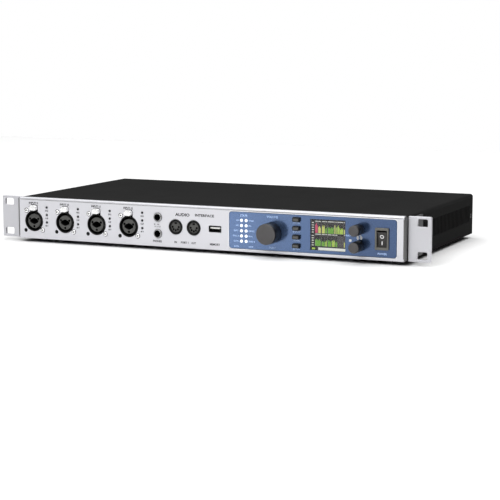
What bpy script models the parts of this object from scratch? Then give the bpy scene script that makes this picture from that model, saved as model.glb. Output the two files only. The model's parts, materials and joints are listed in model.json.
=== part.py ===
"""Rack audio interface, 19 inches wide and one rack unit high, built as separate pieces.

Lengths are in millimetres and become metres when a mesh is made. Coordinates start at the middle
of the front panel's lower front edge: +X to the right as seen from the front, +Y towards the rear,
+Z up. Every mesh is then shifted so that the origin lies under the middle of the object, on the
surface that its feet stand on.
"""

import math

import bmesh
import bpy
from mathutils import Vector

MM = 0.001

# Rack and chassis
RACK_WIDTH = 482.6
PANEL_WIDTH = 436.0
PANEL_HEIGHT = 44.0
PANEL_THICKNESS = 6.0
DEPTH = 230.0
FOOT_HEIGHT = 4.0
REACH = 17.0  # how far the knobs stand out in front, and the coaxial sockets behind
SHEET = 1.5
GAP = 0.3
EDGE_RADIUS = 3.0
ROUND = 24  # sides of a large round piece

# Rack ears
EAR_SETBACK = PANEL_THICKNESS + GAP
EAR_SHEET = 3.0
EAR_FLANGE = 38.0
EAR_SLOT_X = 232.55
EAR_SLOT_SPACING = 31.75
EAR_SLOT_SIZE = (10.5, 7.5)
EAR_SLOT_CORNER = 1.5

# Front panel
COMBO_X = [-198.0 + 38.3 * k for k in range(4)]
COMBO_Z = 19.0
COMBO_LATCH = 14.2  # height of the release tab above the socket's axis
PHONES_X = -49.0
PHONES_Z = (30.4, 13.4)
JACK_BORE = 3.2
FRONT_MIDI_X = (-28.5, -8.0)
FRONT_MIDI_Z = 21.4
FRONT_USB = (16.1, 21.5)
OVERLAY_X = (32.0, 209.0)
OVERLAY_Z = (3.3, 40.3)
DISPLAY_X = (120.0, 156.2)
DISPLAY_Z = (6.6, 36.8)
VOLUME = (79.0, 21.3)
VOLUME_RADIUS = 10.5
SMALL_KNOB_X = 171.0
SMALL_KNOB_Z = {"upper": 29.5, "lower": 13.3}
SMALL_KNOB_RADIUS = 5.5
BUTTON_X = 105.2
BUTTON_Z = [35.7 - 8.7 * k for k in range(4)]
BUTTON_SIZE = (7.3, 4.2)
SWITCH = (194.3, 21.3)
SWITCH_TILT = 7.0
SWITCH_PIVOT_Y = 3.0

# Rear panel, also as seen from the front
REAR_HALF = 212.0
MAINS = (187.2, 20.7)
REAR_MIDI_X = (133.6, 113.7)
REAR_MIDI_Z = 18.9
OPTICAL_X = {"b": (87.0, 74.0), "a": (61.0, 48.0)}
OPTICAL_Z = 32.0
SHUTTER_HINGE = 2.9
FIBRE = (28.0, 32.5)
FIBRE_PITCH = 12.7
USB_B = (86.2, 15.7)
THUNDER = (71.5, 12.0)
REMOTE = (57.7, 12.9)
BNC_X = {"in": 40.5, "out": 23.6}
BNC_Z = 15.4
XLR_Z = 20.8
XLR_X = {"aes_output": -5.2, "aes_input": -30.0, "line_output_7": -108.4, "line_output_8": -134.1}
JACK_Z = (31.4, 14.6)
OUTPUT_JACK_X = [-53.7 - 16.2 * k for k in range(3)]
INPUT_JACK_X = [-157.3 - 16.2 * k for k in range(4)]
XLR_COLLAR = 11.2
XLR_BODY = 12.2

SHIFT = Vector((0.0, -DEPTH / 2, FOOT_HEIGHT))

COLOURS = {
    "silver": ((0.62, 0.62, 0.66), 0.42, 0.6),
    "blue": ((0.08, 0.16, 0.40), 0.18, 0.3),
    "charcoal": ((0.025, 0.025, 0.027), 0.5, 0.2),
    "black": ((0.01, 0.01, 0.011), 0.4, 0.0),
    "knob": ((0.09, 0.09, 0.09), 0.5, 0.0),
    "chrome": ((0.75, 0.75, 0.75), 0.2, 1.0),
    "steel": ((0.45, 0.45, 0.45), 0.35, 1.0),
    "grey": ((0.15, 0.15, 0.15), 0.45, 0.0),
    "white": ((0.75, 0.75, 0.75), 0.5, 0.0),
    "screen": ((0.02, 0.05, 0.03), 0.1, 0.0),
    "board": ((0.02, 0.12, 0.05), 0.5, 0.0),
    "rubber": ((0.015, 0.015, 0.015), 0.85, 0.0),
}


def clear_scene():
    for old in list(bpy.data.objects):
        bpy.data.objects.remove(old)


def material(name, colour):
    """A material of its own for each piece, from the palette above."""
    rgb, roughness, metallic = COLOURS[colour]
    made = bpy.data.materials.new(name)
    made.use_nodes = True
    shader = made.node_tree.nodes["Principled BSDF"]
    shader.inputs["Base Color"].default_value = (*rgb, 1.0)
    shader.inputs["Roughness"].default_value = roughness
    shader.inputs["Metallic"].default_value = metallic
    return made


# Outlines, as lists of points in a plane


def rectangle(u, v):
    return [(u[0], v[0]), (u[1], v[0]), (u[1], v[1]), (u[0], v[1])]


def around(centre, width, height):
    """A rectangle given by its middle and its size."""
    u, v = centre
    return rectangle((u - width / 2, u + width / 2), (v - height / 2, v + height / 2))


def circle(centre, radius, sides=16):
    turn = 2 * math.pi / sides
    return [
        (centre[0] + radius * math.cos(k * turn), centre[1] + radius * math.sin(k * turn))
        for k in range(sides)
    ]


def rounded(u, v, radius, steps=4):
    """A rectangle with round corners."""
    corners = [(u[1], v[1], 0), (u[0], v[1], 1), (u[0], v[0], 2), (u[1], v[0], 3)]
    points = []
    for corner_u, corner_v, quarter in corners:
        middle_u = corner_u + (radius if quarter in (1, 2) else -radius)
        middle_v = corner_v + (radius if quarter in (2, 3) else -radius)
        for k in range(steps + 1):
            angle = (quarter + k / steps) * math.pi / 2
            points.append((middle_u + radius * math.cos(angle), middle_v + radius * math.sin(angle)))
    return points


# Solids, each returned as (points, faces)


def prism(axis, outline, span):
    """The outline pushed along an axis. It lies in XZ for axis Y, XY for axis Z and YZ for axis X."""
    points = []
    for along in span:
        for u, v in outline:
            place = {"X": (along, u, v), "Y": (u, along, v), "Z": (u, v, along)}[axis]
            points.append(place)
    count = len(outline)
    faces = [list(range(count)), list(range(count, 2 * count))]
    for k in range(count):
        after = (k + 1) % count
        faces.append([k, after, count + after, count + k])
    return points, faces


def block(x, y, z):
    return prism("Y", rectangle(x, z), y)


def rod(centre, radius, span, sides=16):
    """A round bar along Y."""
    return prism("Y", circle(centre, radius, sides), span)


def turned(centre, profile, sides=16):
    """A profile of (radius, y) points turned about an axis along Y.

    An open profile starts and ends on the axis. A closed one keeps off the axis, and makes a ring.
    """
    points = []
    rings = []
    for radius, y in profile:
        if radius == 0:
            rings.append([len(points)])
            points.append((centre[0], y, centre[1]))
            continue
        rings.append(list(range(len(points), len(points) + sides)))
        for u, v in circle(centre, radius, sides):
            points.append((u, y, v))
    pairs = list(zip(rings, rings[1:]))
    if profile[0][0] > 0:
        pairs.append((rings[-1], rings[0]))
    faces = []
    for first, second in pairs:
        for k in range(sides):
            after = (k + 1) % sides
            corners = [
                first[k % len(first)],
                first[after % len(first)],
                second[after % len(second)],
                second[k % len(second)],
            ]
            faces.append(list(dict.fromkeys(corners)))
    return points, faces


def tube(centre, outer, inner, span, sides=16):
    near, far = span
    return turned(centre, [(outer, near), (outer, far), (inner, far), (inner, near)], sides)


def new_object(name, shapes, origin=(0, 0, 0)):
    """One object from several solids that stay clear of each other."""
    middle = Vector(origin)
    built = bmesh.new()
    for points, faces in shapes:
        corners = [built.verts.new((Vector(p) - middle) * MM) for p in points]
        for face in faces:
            built.faces.new([corners[k] for k in face])
    bmesh.ops.recalc_face_normals(built, faces=built.faces)
    mesh = bpy.data.meshes.new(name)
    built.to_mesh(mesh)
    built.free()
    made = bpy.data.objects.new(name, mesh)
    made.location = (middle + SHIFT) * MM
    bpy.context.scene.collection.objects.link(made)
    return made


def combine(piece, operation, shapes):
    """Adds shapes to a piece or cuts them from it, with a Boolean and a hidden helper."""
    helper = new_object(f"{piece.name}_{operation.lower()}", shapes)
    helper.hide_render = True
    helper.display_type = "WIRE"
    modifier = piece.modifiers.new(operation.title(), "BOOLEAN")
    modifier.operation = operation
    modifier.object = helper


def build(name, colour, base, steps=(), origin=(0, 0, 0)):
    """A piece from a base solid and then, in order, ("UNION" or "DIFFERENCE", shapes) steps."""
    piece = new_object(name, [base], origin)
    for operation, shapes in steps:
        combine(piece, operation, shapes)
    piece.data.materials.append(material(name, colour))
    piece.data.shade_smooth()
    piece.data.set_sharp_from_angle(angle=math.radians(30))
    return piece


def add(*shapes):
    return "UNION", shapes


def cut(*shapes):
    return "DIFFERENCE", shapes


# Chassis


def front_panel():
    thickness = (0, PANEL_THICKNESS)
    through = (-1, PANEL_THICKNESS + 1)
    half = PANEL_WIDTH / 2
    base = prism("Y", rounded((-half, half), (0, PANEL_HEIGHT), 1.2, 3), thickness)
    sockets = [rod((x, COMBO_Z), 11.1, through, ROUND) for x in COMBO_X]
    sockets += [rod((PHONES_X, z), 5.3, through) for z in PHONES_Z]
    sockets += [rod((x, FRONT_MIDI_Z), 7.9, through) for x in FRONT_MIDI_X]
    sockets += [prism("Y", around(FRONT_USB, 13.9, 6.7), through)]
    pocket_x = (OVERLAY_X[0] - GAP, OVERLAY_X[1] + GAP)
    pocket_z = (OVERLAY_Z[0] - GAP, OVERLAY_Z[1] + GAP)
    pocket = prism("Y", rounded(pocket_x, pocket_z, 3.0), (-1, 1.5))
    latches = [block((x - 4.9, x + 4.9), through, (COMBO_Z + 9, COMBO_Z + 17.6)) for x in COMBO_X]
    controls = [rod(VOLUME, 4.0, through)]
    controls += [rod((SMALL_KNOB_X, z), 3.5, through) for z in SMALL_KNOB_Z.values()]
    controls += [prism("Y", around((BUTTON_X, z), 8.2, 5.0), through) for z in BUTTON_Z]
    window_x = (DISPLAY_X[0] - 1, DISPLAY_X[1] + 1)
    window_z = (DISPLAY_Z[0] - 1, DISPLAY_Z[1] + 1)
    controls += [block(window_x, through, window_z)]
    controls += [prism("Y", around(SWITCH, 13.0, 20.4), through)]
    build("front_panel", "silver", base, [cut(*sockets), cut(pocket, *latches), cut(*controls)])


def control_overlay():
    base = prism("Y", rounded(OVERLAY_X, OVERLAY_Z, 2.7), (0.2, 1.2))
    through = (-1, 3)
    holes = [rod(VOLUME, 4.0, through)]
    holes += [rod((SMALL_KNOB_X, z), 3.5, through) for z in SMALL_KNOB_Z.values()]
    holes += [prism("Y", around((BUTTON_X, z), 7.9, 4.8), through) for z in BUTTON_Z]
    window_x = (DISPLAY_X[0] - GAP, DISPLAY_X[1] + GAP)
    window_z = (DISPLAY_Z[0] - GAP, DISPLAY_Z[1] + GAP)
    holes += [block(window_x, through, window_z)]
    holes += [prism("Y", around(SWITCH, 13.0, 20.4), through)]
    build("control_overlay", "blue", base, [cut(*holes)])


def top_cover():
    """A folded sheet: the top, both sides with their ventilation slots, and a rim round the rear."""
    half = PANEL_WIDTH / 2
    span = (EAR_SETBACK, DEPTH - GAP)
    outer = rounded((-half, half), (-20, PANEL_HEIGHT), EDGE_RADIUS, 4)
    inner_half = half - SHEET
    hollow = rounded((-inner_half, inner_half), (-30, PANEL_HEIGHT - SHEET), EDGE_RADIUS - SHEET, 4)
    below = block((-300, 300), (0, DEPTH + 10), (-40, 0.6))
    rims = []
    slots = []
    for side in (-1, 1):
        edges = sorted((side * (half - 1), side * (REAR_HALF + GAP)))
        rims.append(block(edges, (DEPTH - SHEET - GAP, DEPTH - GAP), (SHEET + GAP, PANEL_HEIGHT - 1)))
        wall = sorted((side * (half + 2), side * (half - 4)))
        starts = [52.0 + 4.8 * k for k in range(35)]
        slots += [block(wall, (start, start + 2.2), (14.5, 32.5)) for start in starts]
    build(
        "top_cover",
        "charcoal",
        prism("Y", outer, span),
        [cut(prism("Y", hollow, (0, DEPTH + 10))), cut(below), add(*rims), cut(*slots)],
    )


def base_tray():
    half = PANEL_WIDTH / 2 - SHEET - GAP
    span = (EAR_SETBACK, DEPTH - GAP)
    walls = []
    for side in (-1, 1):
        wall = sorted((side * half, side * (half - SHEET)))
        walls.append(block(wall, (EAR_SETBACK, 227.0), (0.5, 9)))
    posts = [(x, y) for x in (-198.0, -90.0, 30.0, 140.0) for y in (52.0, 193.0)]
    posts += [(x, y) for x in (162.0, 203.0) for y in (66.0, 194.0)]
    stands = [prism("Z", circle(place, 3.0, 8), (1.0, 4.2)) for place in posts]
    build(
        "base_tray",
        "charcoal",
        block((-half, half), span, (0, SHEET)),
        [add(*walls), add(*stands)],
    )


def rear_panel():
    through = (DEPTH - 4, DEPTH + 2)
    height = (SHEET + GAP, PANEL_HEIGHT - SHEET - GAP)
    base = block((-REAR_HALF, REAR_HALF), (DEPTH - 2, DEPTH), height)
    holes = [prism("Y", around(MAINS, 28.0, 22.0), through)]
    holes += [rod((x, REAR_MIDI_Z), 8.5, through) for x in REAR_MIDI_X]
    for pair in OPTICAL_X.values():
        holes.append(prism("Y", around((sum(pair) / 2, OPTICAL_Z), 23.5, 10.4), through))
    holes.append(prism("Y", around(FIBRE, 27.6, 12.2), through))
    holes.append(prism("Y", around(USB_B, 12.6, 12.4), through))
    holes.append(prism("Y", around(THUNDER, 9.0, 6.4), through))
    holes.append(prism("Y", around(REMOTE, 13.9, 6.7), through))
    holes += [rod((x, BNC_Z), 5.9, through) for x in BNC_X.values()]
    holes += [rod((x, XLR_Z), XLR_COLLAR + GAP, through, ROUND) for x in XLR_X.values()]
    holes += [rod((x, z), 5.2, through, 12) for x in OUTPUT_JACK_X + INPUT_JACK_X for z in JACK_Z]
    latch_x = XLR_X["aes_input"]
    notch = block((latch_x - 4.9, latch_x + 4.9), through, (XLR_Z + 9, XLR_Z + 17.6))
    build("rear_panel", "charcoal", base, [cut(*holes), cut(notch)])


def rack_ear(side):
    """An angle bracket: the face with its two slots, and the flange against the cover's side."""
    half = PANEL_WIDTH / 2
    inner = half + 0.4
    face = sorted((side * inner, side * RACK_WIDTH / 2))
    flange = sorted((side * inner, side * (inner + 2.5)))
    front = (EAR_SETBACK, EAR_SETBACK + EAR_SHEET)
    slots = []
    for step in (-0.5, 0.5):
        middle = PANEL_HEIGHT / 2 + step * EAR_SLOT_SPACING
        width, height = EAR_SLOT_SIZE
        x = (side * EAR_SLOT_X - width / 2, side * EAR_SLOT_X + width / 2)
        z = (middle - height / 2, middle + height / 2)
        slots.append(prism("Y", rounded(x, z, EAR_SLOT_CORNER), (0, 20)))
    name = "rack_ear_right" if side > 0 else "rack_ear_left"
    base = block(face, front, (0, PANEL_HEIGHT))
    bent = block(flange, (EAR_SETBACK + 1, EAR_SETBACK + EAR_FLANGE), (2, PANEL_HEIGHT - 2))
    build(name, "silver", base, [add(bent), cut(*slots)])


def feet():
    places = {
        "front_left": (-190, 24),
        "front_right": (190, 24),
        "rear_left": (-199, 214),
        "rear_right": (199, 214),
    }
    sole = -FOOT_HEIGHT
    profile = [(0, sole), (7.2, sole), (8.0, sole + 0.8), (8.0, -GAP), (0, -GAP)]
    for name, place in places.items():
        points, faces = turned((0, 0), profile)
        standing = [(place[0] + x, place[1] + z, y) for x, y, z in points]
        build(f"foot_{name}", "rubber", (standing, faces))


# Inside


def main_board():
    base = block((-208, 148), (45, 200), (4.5, 6.1))
    parts = [
        block((-30, 2), (100, 132), (6.0, 9.0)),
        block((40, 58), (90, 108), (6.0, 8.4)),
        block((-120, -70), (120, 170), (6.0, 18.0)),
        block((90, 120), (140, 180), (6.0, 14.0)),
        block((-190, 0), (56, 66), (6.0, 20.0)),
    ]
    parts += [prism("Z", circle((70 + 16 * k, 68), 5.0, 12), (6.0, 22.0)) for k in range(4)]
    build("main_board", "board", base, [add(*parts)])


def front_board():
    """The board behind the controls, with its encoders and key switches."""
    face = (13.0, 14.6)
    base = block((38, 208), face, (2.5, 41.5))
    parts = [prism("Y", around(VOLUME, 12, 12), (8.0, 13.5))]
    parts += [prism("Y", around((SMALL_KNOB_X, z), 10, 10), (8.0, 13.5)) for z in SMALL_KNOB_Z.values()]
    parts += [prism("Y", around((BUTTON_X, z), 6, 6), (11.5, 13.5)) for z in BUTTON_Z]
    bores = [rod(VOLUME, 3.1, (7, 12.6))]
    bores += [rod((SMALL_KNOB_X, z), 2.6, (7, 12.6)) for z in SMALL_KNOB_Z.values()]
    window = prism("Y", around(SWITCH, 14.5, 22), (10, 20))
    build("front_board", "board", base, [add(*parts), cut(window, *bores)])


def power_supply():
    base = block((155, 210), (60, 200), (4.5, 6.1))
    parts = [
        block((165, 200), (100, 136), (6.0, 34.0)),
        block((157, 161), (70, 150), (6.0, 32.0)),
        block((168, 200), (160, 182), (6.0, 26.0)),
        prism("Z", circle((184, 80), 11.0, 16), (6.0, 34.0)),
    ]
    build("power_supply", "board", base, [add(*parts)])


# Front controls


def display():
    inset = rectangle((DISPLAY_X[0], DISPLAY_X[1]), (DISPLAY_Z[0], DISPLAY_Z[1]))
    build("display_window", "screen", prism("Y", inset, (0.3, 1.2)))
    panel_x = (DISPLAY_X[0] - 0.5, DISPLAY_X[1] + 0.5)
    panel_z = (DISPLAY_Z[0] - 0.5, DISPLAY_Z[1] + 0.5)
    panel = block(panel_x, (1.6, 7.0), panel_z)
    back = block((DISPLAY_X[0] - 4, DISPLAY_X[1] + 4), (6.4, 8.6), (3.5, 40.0))
    build("display_module", "grey", panel, [add(back)])


def knob(name, centre, radius, shaft_radius):
    """A push encoder's knob with a blind bore, and the shaft that it turns on."""
    bore = shaft_radius + 0.1
    profile = [
        (0, -REACH),
        (radius - 0.8, -REACH),
        (radius, -REACH + 0.8),
        (radius, -0.9),
        (bore, -0.9),
        (bore, -12.0),
        (0, -12.0),
    ]
    axis = (centre[0], 0, centre[1])
    build(f"{name}_knob", "knob", turned(centre, profile, ROUND), origin=axis)
    build(f"{name}_shaft", "steel", rod(centre, shaft_radius, (-11.7, 11.8), 20), origin=axis)


def menu_button(number, z):
    centre = (BUTTON_X, z)
    width, height = BUTTON_SIZE
    x = (BUTTON_X - width / 2, BUTTON_X + width / 2)
    cap = prism("Y", rounded(x, (z - height / 2, z + height / 2), 0.5, 2), (-3.2, 7.0))
    flange = prism("Y", around(centre, 9.8, 6.6), (6.6, 7.8))
    stem = rod(centre, 1.5, (7.4, 10.6), 12)
    build(f"menu_button_{number}", "knob", cap, [add(flange), add(stem)], origin=(BUTTON_X, 0, z))


def power_switch():
    bezel = prism("Y", around(SWITCH, 13.7, 21.5), (-2.0, -0.1))
    body = prism("Y", around(SWITCH, 12.2, 19.6), (-0.5, 22.0))
    cavity = prism("Y", around(SWITCH, 9.9, 16.4), (-3.0, 9.0))
    places = [(SWITCH[0] + dx, SWITCH[1] + dz) for dx in (-3.5, 3.5) for dz in (-6.3, 6.3)]
    terminals = [prism("Y", around(place, 2.0, 0.8), (21, 28)) for place in places]
    build("power_switch_frame", "grey", bezel, [add(body), cut(cavity), add(*terminals)])
    x = (SWITCH[0] - 4.7, SWITCH[0] + 4.7)
    outline = [(-1.2, 7.4), (0.2, 0.0), (-1.2, -7.4), (3.4, -7.4), (5.6, -3.0), (5.6, 3.0), (3.4, 7.4)]
    tilt = math.radians(SWITCH_TILT)
    turned_outline = []
    for y, z in outline:
        y -= SWITCH_PIVOT_Y
        turned_y = y * math.cos(tilt) - z * math.sin(tilt)
        turned_z = y * math.sin(tilt) + z * math.cos(tilt)
        turned_outline.append((SWITCH_PIVOT_Y + turned_y, SWITCH[1] + turned_z))
    pivot = (SWITCH[0], SWITCH_PIVOT_Y, SWITCH[1])
    build("power_rocker", "black", prism("X", turned_outline, x), origin=pivot)


# Front sockets


def latch(name, x, z, face, outward):
    """The press-to-release tab above a locking socket. Its stem runs in the socket's body."""
    tab = prism("Y", around((x, z), 8.8, 5.8), sorted((face + outward * 3.6, face - outward * 4.4)))
    stem = rod((x, z), 1.4, sorted((face - outward * 4.0, face - outward * 9.0)), 12)
    build(name, "steel", tab, [add(stem)], origin=(x, face, z))


def contact_holes(centre, radius, hole, angles, span):
    holes = []
    for angle in angles:
        turn = math.radians(angle)
        place = (centre[0] + radius * math.cos(turn), centre[1] + radius * math.sin(turn))
        holes.append(rod(place, hole, span, 8))
    return holes


def combo_socket(number, x):
    centre = (x, COMBO_Z)
    collar = rod(centre, 10.8, (-0.3, 6.8), ROUND)
    body = block((x - 12.8, x + 12.8), (6.4, 30.0), (5.5, 38.0))
    groove = tube(centre, 10.0, 7.7, (-2, 14), ROUND)
    bore = rod(centre, JACK_BORE, (-2, 27))
    contacts = contact_holes(centre, 5.45, 1.2, (25, 155, 270), (-2, 12))
    guide = rod((x, COMBO_Z + COMBO_LATCH), 1.8, (5, 12), 12)
    build(
        f"input_socket_{number}",
        "black",
        body,
        [add(collar), cut(groove, bore, guide, *contacts)],
    )
    latch(f"input_latch_{number}", x, COMBO_Z + COMBO_LATCH, 0, -1)


def phones_jacks():
    body = block((PHONES_X - 8, PHONES_X + 8), (6.4, 36.0), (4.5, 39.5))
    ferrules = [rod((PHONES_X, z), 4.8, (-1.5, 7)) for z in PHONES_Z]
    bores = [rod((PHONES_X, z), JACK_BORE, (-3, 33)) for z in PHONES_Z]
    build("phones_jacks", "chrome", body, [add(*ferrules), cut(*bores)])


def midi_sockets(name, xs, z, face, outward, collar, panel_inside):
    """Two five-pole round sockets in one housing."""

    def along(a, b):
        return sorted((face + outward * a, face + outward * b))

    middle = sum(xs) / 2
    half = abs(xs[0] - xs[1]) / 2 + 9.2
    body = block((middle - half, middle + half), along(-panel_inside, -22), (z - 9.6, z + 9.6))
    collars = [rod((x, z), collar, along(-panel_inside - 1, 0.8)) for x in xs]
    grooves = [tube((x, z), 6.8, 5.4, along(-9, 2)) for x in xs]
    build(name, "black", body, [add(*collars), cut(*grooves)])


def usb_socket(name, centre, face, outward):
    def along(a, b):
        return sorted((face + outward * a, face + outward * b))

    shell = prism("Y", around(centre, 13.2, 6.0), along(-18, 0.3))
    cavity = prism("Y", around(centre, 12.2, 5.0), along(-14, 1))
    tongue = prism("Y", around((centre[0], centre[1] + 1.05), 11.0, 1.7), along(-14.5, -1))
    build(name, "steel", shell, [cut(cavity), add(tongue)])


# Rear sockets


def mains_inlet():
    x, z = MAINS
    flange = prism("Y", around(MAINS, 30.2, 25.6), (DEPTH + GAP, DEPTH + 1.8))
    body = prism("Y", around(MAINS, 27.2, 21.2), (206, DEPTH + 1))
    outline = [
        (x - 12, z - 8.7),
        (x + 12, z - 8.7),
        (x + 12, z + 4.7),
        (x + 8, z + 8.7),
        (x - 8, z + 8.7),
        (x - 12, z + 4.7),
    ]
    cavity = prism("Y", outline, (214, 240))
    places = [(x, z + 3.7), (x + 7, z - 2.6), (x - 7, z - 2.6)]
    pins = [prism("Y", around(place, 2.0, 4.0), (213, 228.5)) for place in places]
    build("mains_inlet", "black", flange, [add(body), cut(cavity), add(*pins)])


def optical_port(port):
    xs = OPTICAL_X[port]
    middle = sum(xs) / 2
    body = prism("Y", around((middle, OPTICAL_Z), 22.8, 9.8), (215, DEPTH + 1.5))
    cavities = [prism("Y", around((x, OPTICAL_Z), 7.2, 7.2), (219, DEPTH + 3)) for x in xs]
    build(f"optical_port_{port}", "black", body, [cut(*cavities)])
    for use, x in zip(("output", "input"), xs):
        flap = block((x - 3.3, x + 3.3), (DEPTH + 0.2, DEPTH + 1.1), (OPTICAL_Z - 3.2, OPTICAL_Z + 3.2))
        colour = "white" if use == "output" else "black"
        axis = (x, DEPTH + 0.65, OPTICAL_Z + SHUTTER_HINGE)
        build(f"optical_{port}_{use}_shutter", colour, flap, origin=axis)


def fibre_transceiver():
    body = prism("Y", around(FIBRE, 27.0, 11.6), (200, DEPTH + 7))
    centres = [(FIBRE[0] + side * FIBRE_PITCH / 2, FIBRE[1]) for side in (-1, 1)]
    mouths = [prism("Y", around(centre, 9.4, 7.6), (225, DEPTH + 8)) for centre in centres]
    ferrules = [rod(centre, 1.3, (224.5, 231.0), 12) for centre in centres]
    build("fibre_transceiver", "black", body, [cut(*mouths), add(*ferrules)])


def data_ports():
    shell = prism("Y", around(USB_B, 12.0, 11.8), (212, DEPTH + 0.8))
    mouth = prism("Y", around(USB_B, 10.6, 10.4), (216, DEPTH + 2))
    tongue = prism("Y", around(USB_B, 6.0, 4.0), (215.5, DEPTH - 0.6))
    build("usb_b_port", "steel", shell, [cut(mouth), add(tongue)])
    shell = prism("Y", around(THUNDER, 8.4, 5.8), (212, DEPTH + 0.6))
    mouth = prism("Y", around(THUNDER, 7.4, 4.6), (220, DEPTH + 2))
    tongue = prism("Y", around(THUNDER, 4.8, 1.0), (219.5, DEPTH - 0.6))
    build("thunderbolt_port", "steel", shell, [cut(mouth), add(tongue)])
    usb_socket("remote_port", REMOTE, DEPTH, 1)


def coaxial_socket(use):
    """A bayonet socket: hex nut, barrel with two lugs, and the centre contact in its insulator."""
    centre = (BNC_X[use], BNC_Z)
    end = DEPTH + REACH
    nut = prism("Y", circle(centre, 7.4, 6), (DEPTH + GAP, DEPTH + 2.6))
    barrel = rod(centre, 4.8, (DEPTH + 1, end))
    thread = rod(centre, 5.5, (226, DEPTH + 1))
    body = prism("Y", around(centre, 14.0, 13.0), (210, DEPTH - 2.4))
    lugs = prism("Z", circle((centre[0], end - 3.5), 1.0, 8), (BNC_Z - 5.6, BNC_Z + 5.6))
    hollow = tube(centre, 4.05, 2.3, (DEPTH + 8, end + 1))
    contact = rod(centre, 0.8, (DEPTH + 10, end + 1), 8)
    insulator = rod(centre, 3.0, (end - 3.0, end + 2))
    build(
        f"word_clock_{use}put",
        "chrome",
        body,
        [add(thread), add(nut), add(barrel), add(lugs), cut(hollow), cut(insulator), cut(contact)],
    )


def xlr_body(x, top):
    height = (XLR_Z - 13.5, XLR_Z + top)
    return block((x - XLR_BODY, x + XLR_BODY), (206, DEPTH - 2.4), height)


def xlr_output(name):
    """Male: an open cup with three pins."""
    x = XLR_X[name]
    centre = (x, XLR_Z)
    collar = rod(centre, XLR_COLLAR, (226.5, DEPTH + 0.8), ROUND)
    cup = rod(centre, 9.3, (216, DEPTH + 3), ROUND)
    pins = contact_holes(centre, 3.9, 1.2, (0, 180, 270), (215.5, 227.5))
    build(name, "black", xlr_body(x, 13.5), [add(collar), cut(cup), add(*pins)])


def xlr_input(name):
    """Female: a core with three holes inside a round groove, and a release latch above."""
    x = XLR_X[name]
    centre = (x, XLR_Z)
    collar = rod(centre, XLR_COLLAR, (226.5, DEPTH + 0.8), ROUND)
    groove = tube(centre, 10.0, 7.8, (217, DEPTH + 3), ROUND)
    holes = contact_holes(centre, 3.9, 1.3, (0, 180, 270), (217, DEPTH + 3))
    latch_z = XLR_Z + 14.4
    pocket = block((x - 4.8, x + 4.8), (223.6, DEPTH), (latch_z - 3.3, latch_z + 3.3))
    guide = rod((x, latch_z), 1.8, (218, DEPTH), 12)
    build(name, "black", xlr_body(x, 18.5), [cut(pocket), add(collar), cut(groove, guide, *holes)])
    latch("aes_input_latch", x, latch_z, DEPTH, 1)


def jack_bank(name, xs):
    """A bank of 6.35 mm sockets, one above another, with a proud ferrule on each."""
    body = block((min(xs) - 7.9, max(xs) + 7.9), (203, DEPTH - 2.4), (5.6, 40.4))
    centres = [(x, z) for x in xs for z in JACK_Z]
    ferrules = [rod(centre, 4.8, (226.5, DEPTH + 2.5), 12) for centre in centres]
    bores = [rod(centre, JACK_BORE, (207, DEPTH + 4), 12) for centre in centres]
    build(name, "black", body, [add(*ferrules), cut(*bores)])


def main():
    clear_scene()
    front_panel()
    control_overlay()
    top_cover()
    base_tray()
    rear_panel()
    rack_ear(-1)
    rack_ear(1)
    feet()
    main_board()
    front_board()
    power_supply()
    display()
    knob("volume", VOLUME, VOLUME_RADIUS, 3.0)
    for place, z in SMALL_KNOB_Z.items():
        knob(place, (SMALL_KNOB_X, z), SMALL_KNOB_RADIUS, 2.5)
    for number, z in enumerate(BUTTON_Z, 1):
        menu_button(number, z)
    power_switch()
    for number, x in enumerate(COMBO_X, 1):
        combo_socket(number, x)
    phones_jacks()
    midi_sockets("front_midi_sockets", FRONT_MIDI_X, FRONT_MIDI_Z, 0, -1, 7.5, 6.4)
    usb_socket("front_usb_socket", FRONT_USB, 0, -1)
    mains_inlet()
    midi_sockets("rear_midi_sockets", REAR_MIDI_X, REAR_MIDI_Z, DEPTH, 1, 8.2, 2.4)
    for port in OPTICAL_X:
        optical_port(port)
    fibre_transceiver()
    data_ports()
    for use in BNC_X:
        coaxial_socket(use)
    xlr_output("aes_output")
    xlr_output("line_output_7")
    xlr_output("line_output_8")
    xlr_input("aes_input")
    jack_bank("output_jacks", OUTPUT_JACK_X)
    jack_bank("input_jacks", INPUT_JACK_X)


main()
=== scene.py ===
"""The looks of the rack audio interface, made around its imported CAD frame.

Lengths are in millimetres and become metres when a mesh is made. Places are in panel coordinates:
x from the middle of the front panel, to the right as seen from the front, y from the panel's face
towards the rear, and z up from the panel's lower edge. A piece is drawn on one face of the object,
where u runs along the face, v across it, and out is the distance in front of it.
"""

import json
import math

import bmesh
import bpy
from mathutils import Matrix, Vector
from mathutils.geometry import tessellate_polygon


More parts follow.
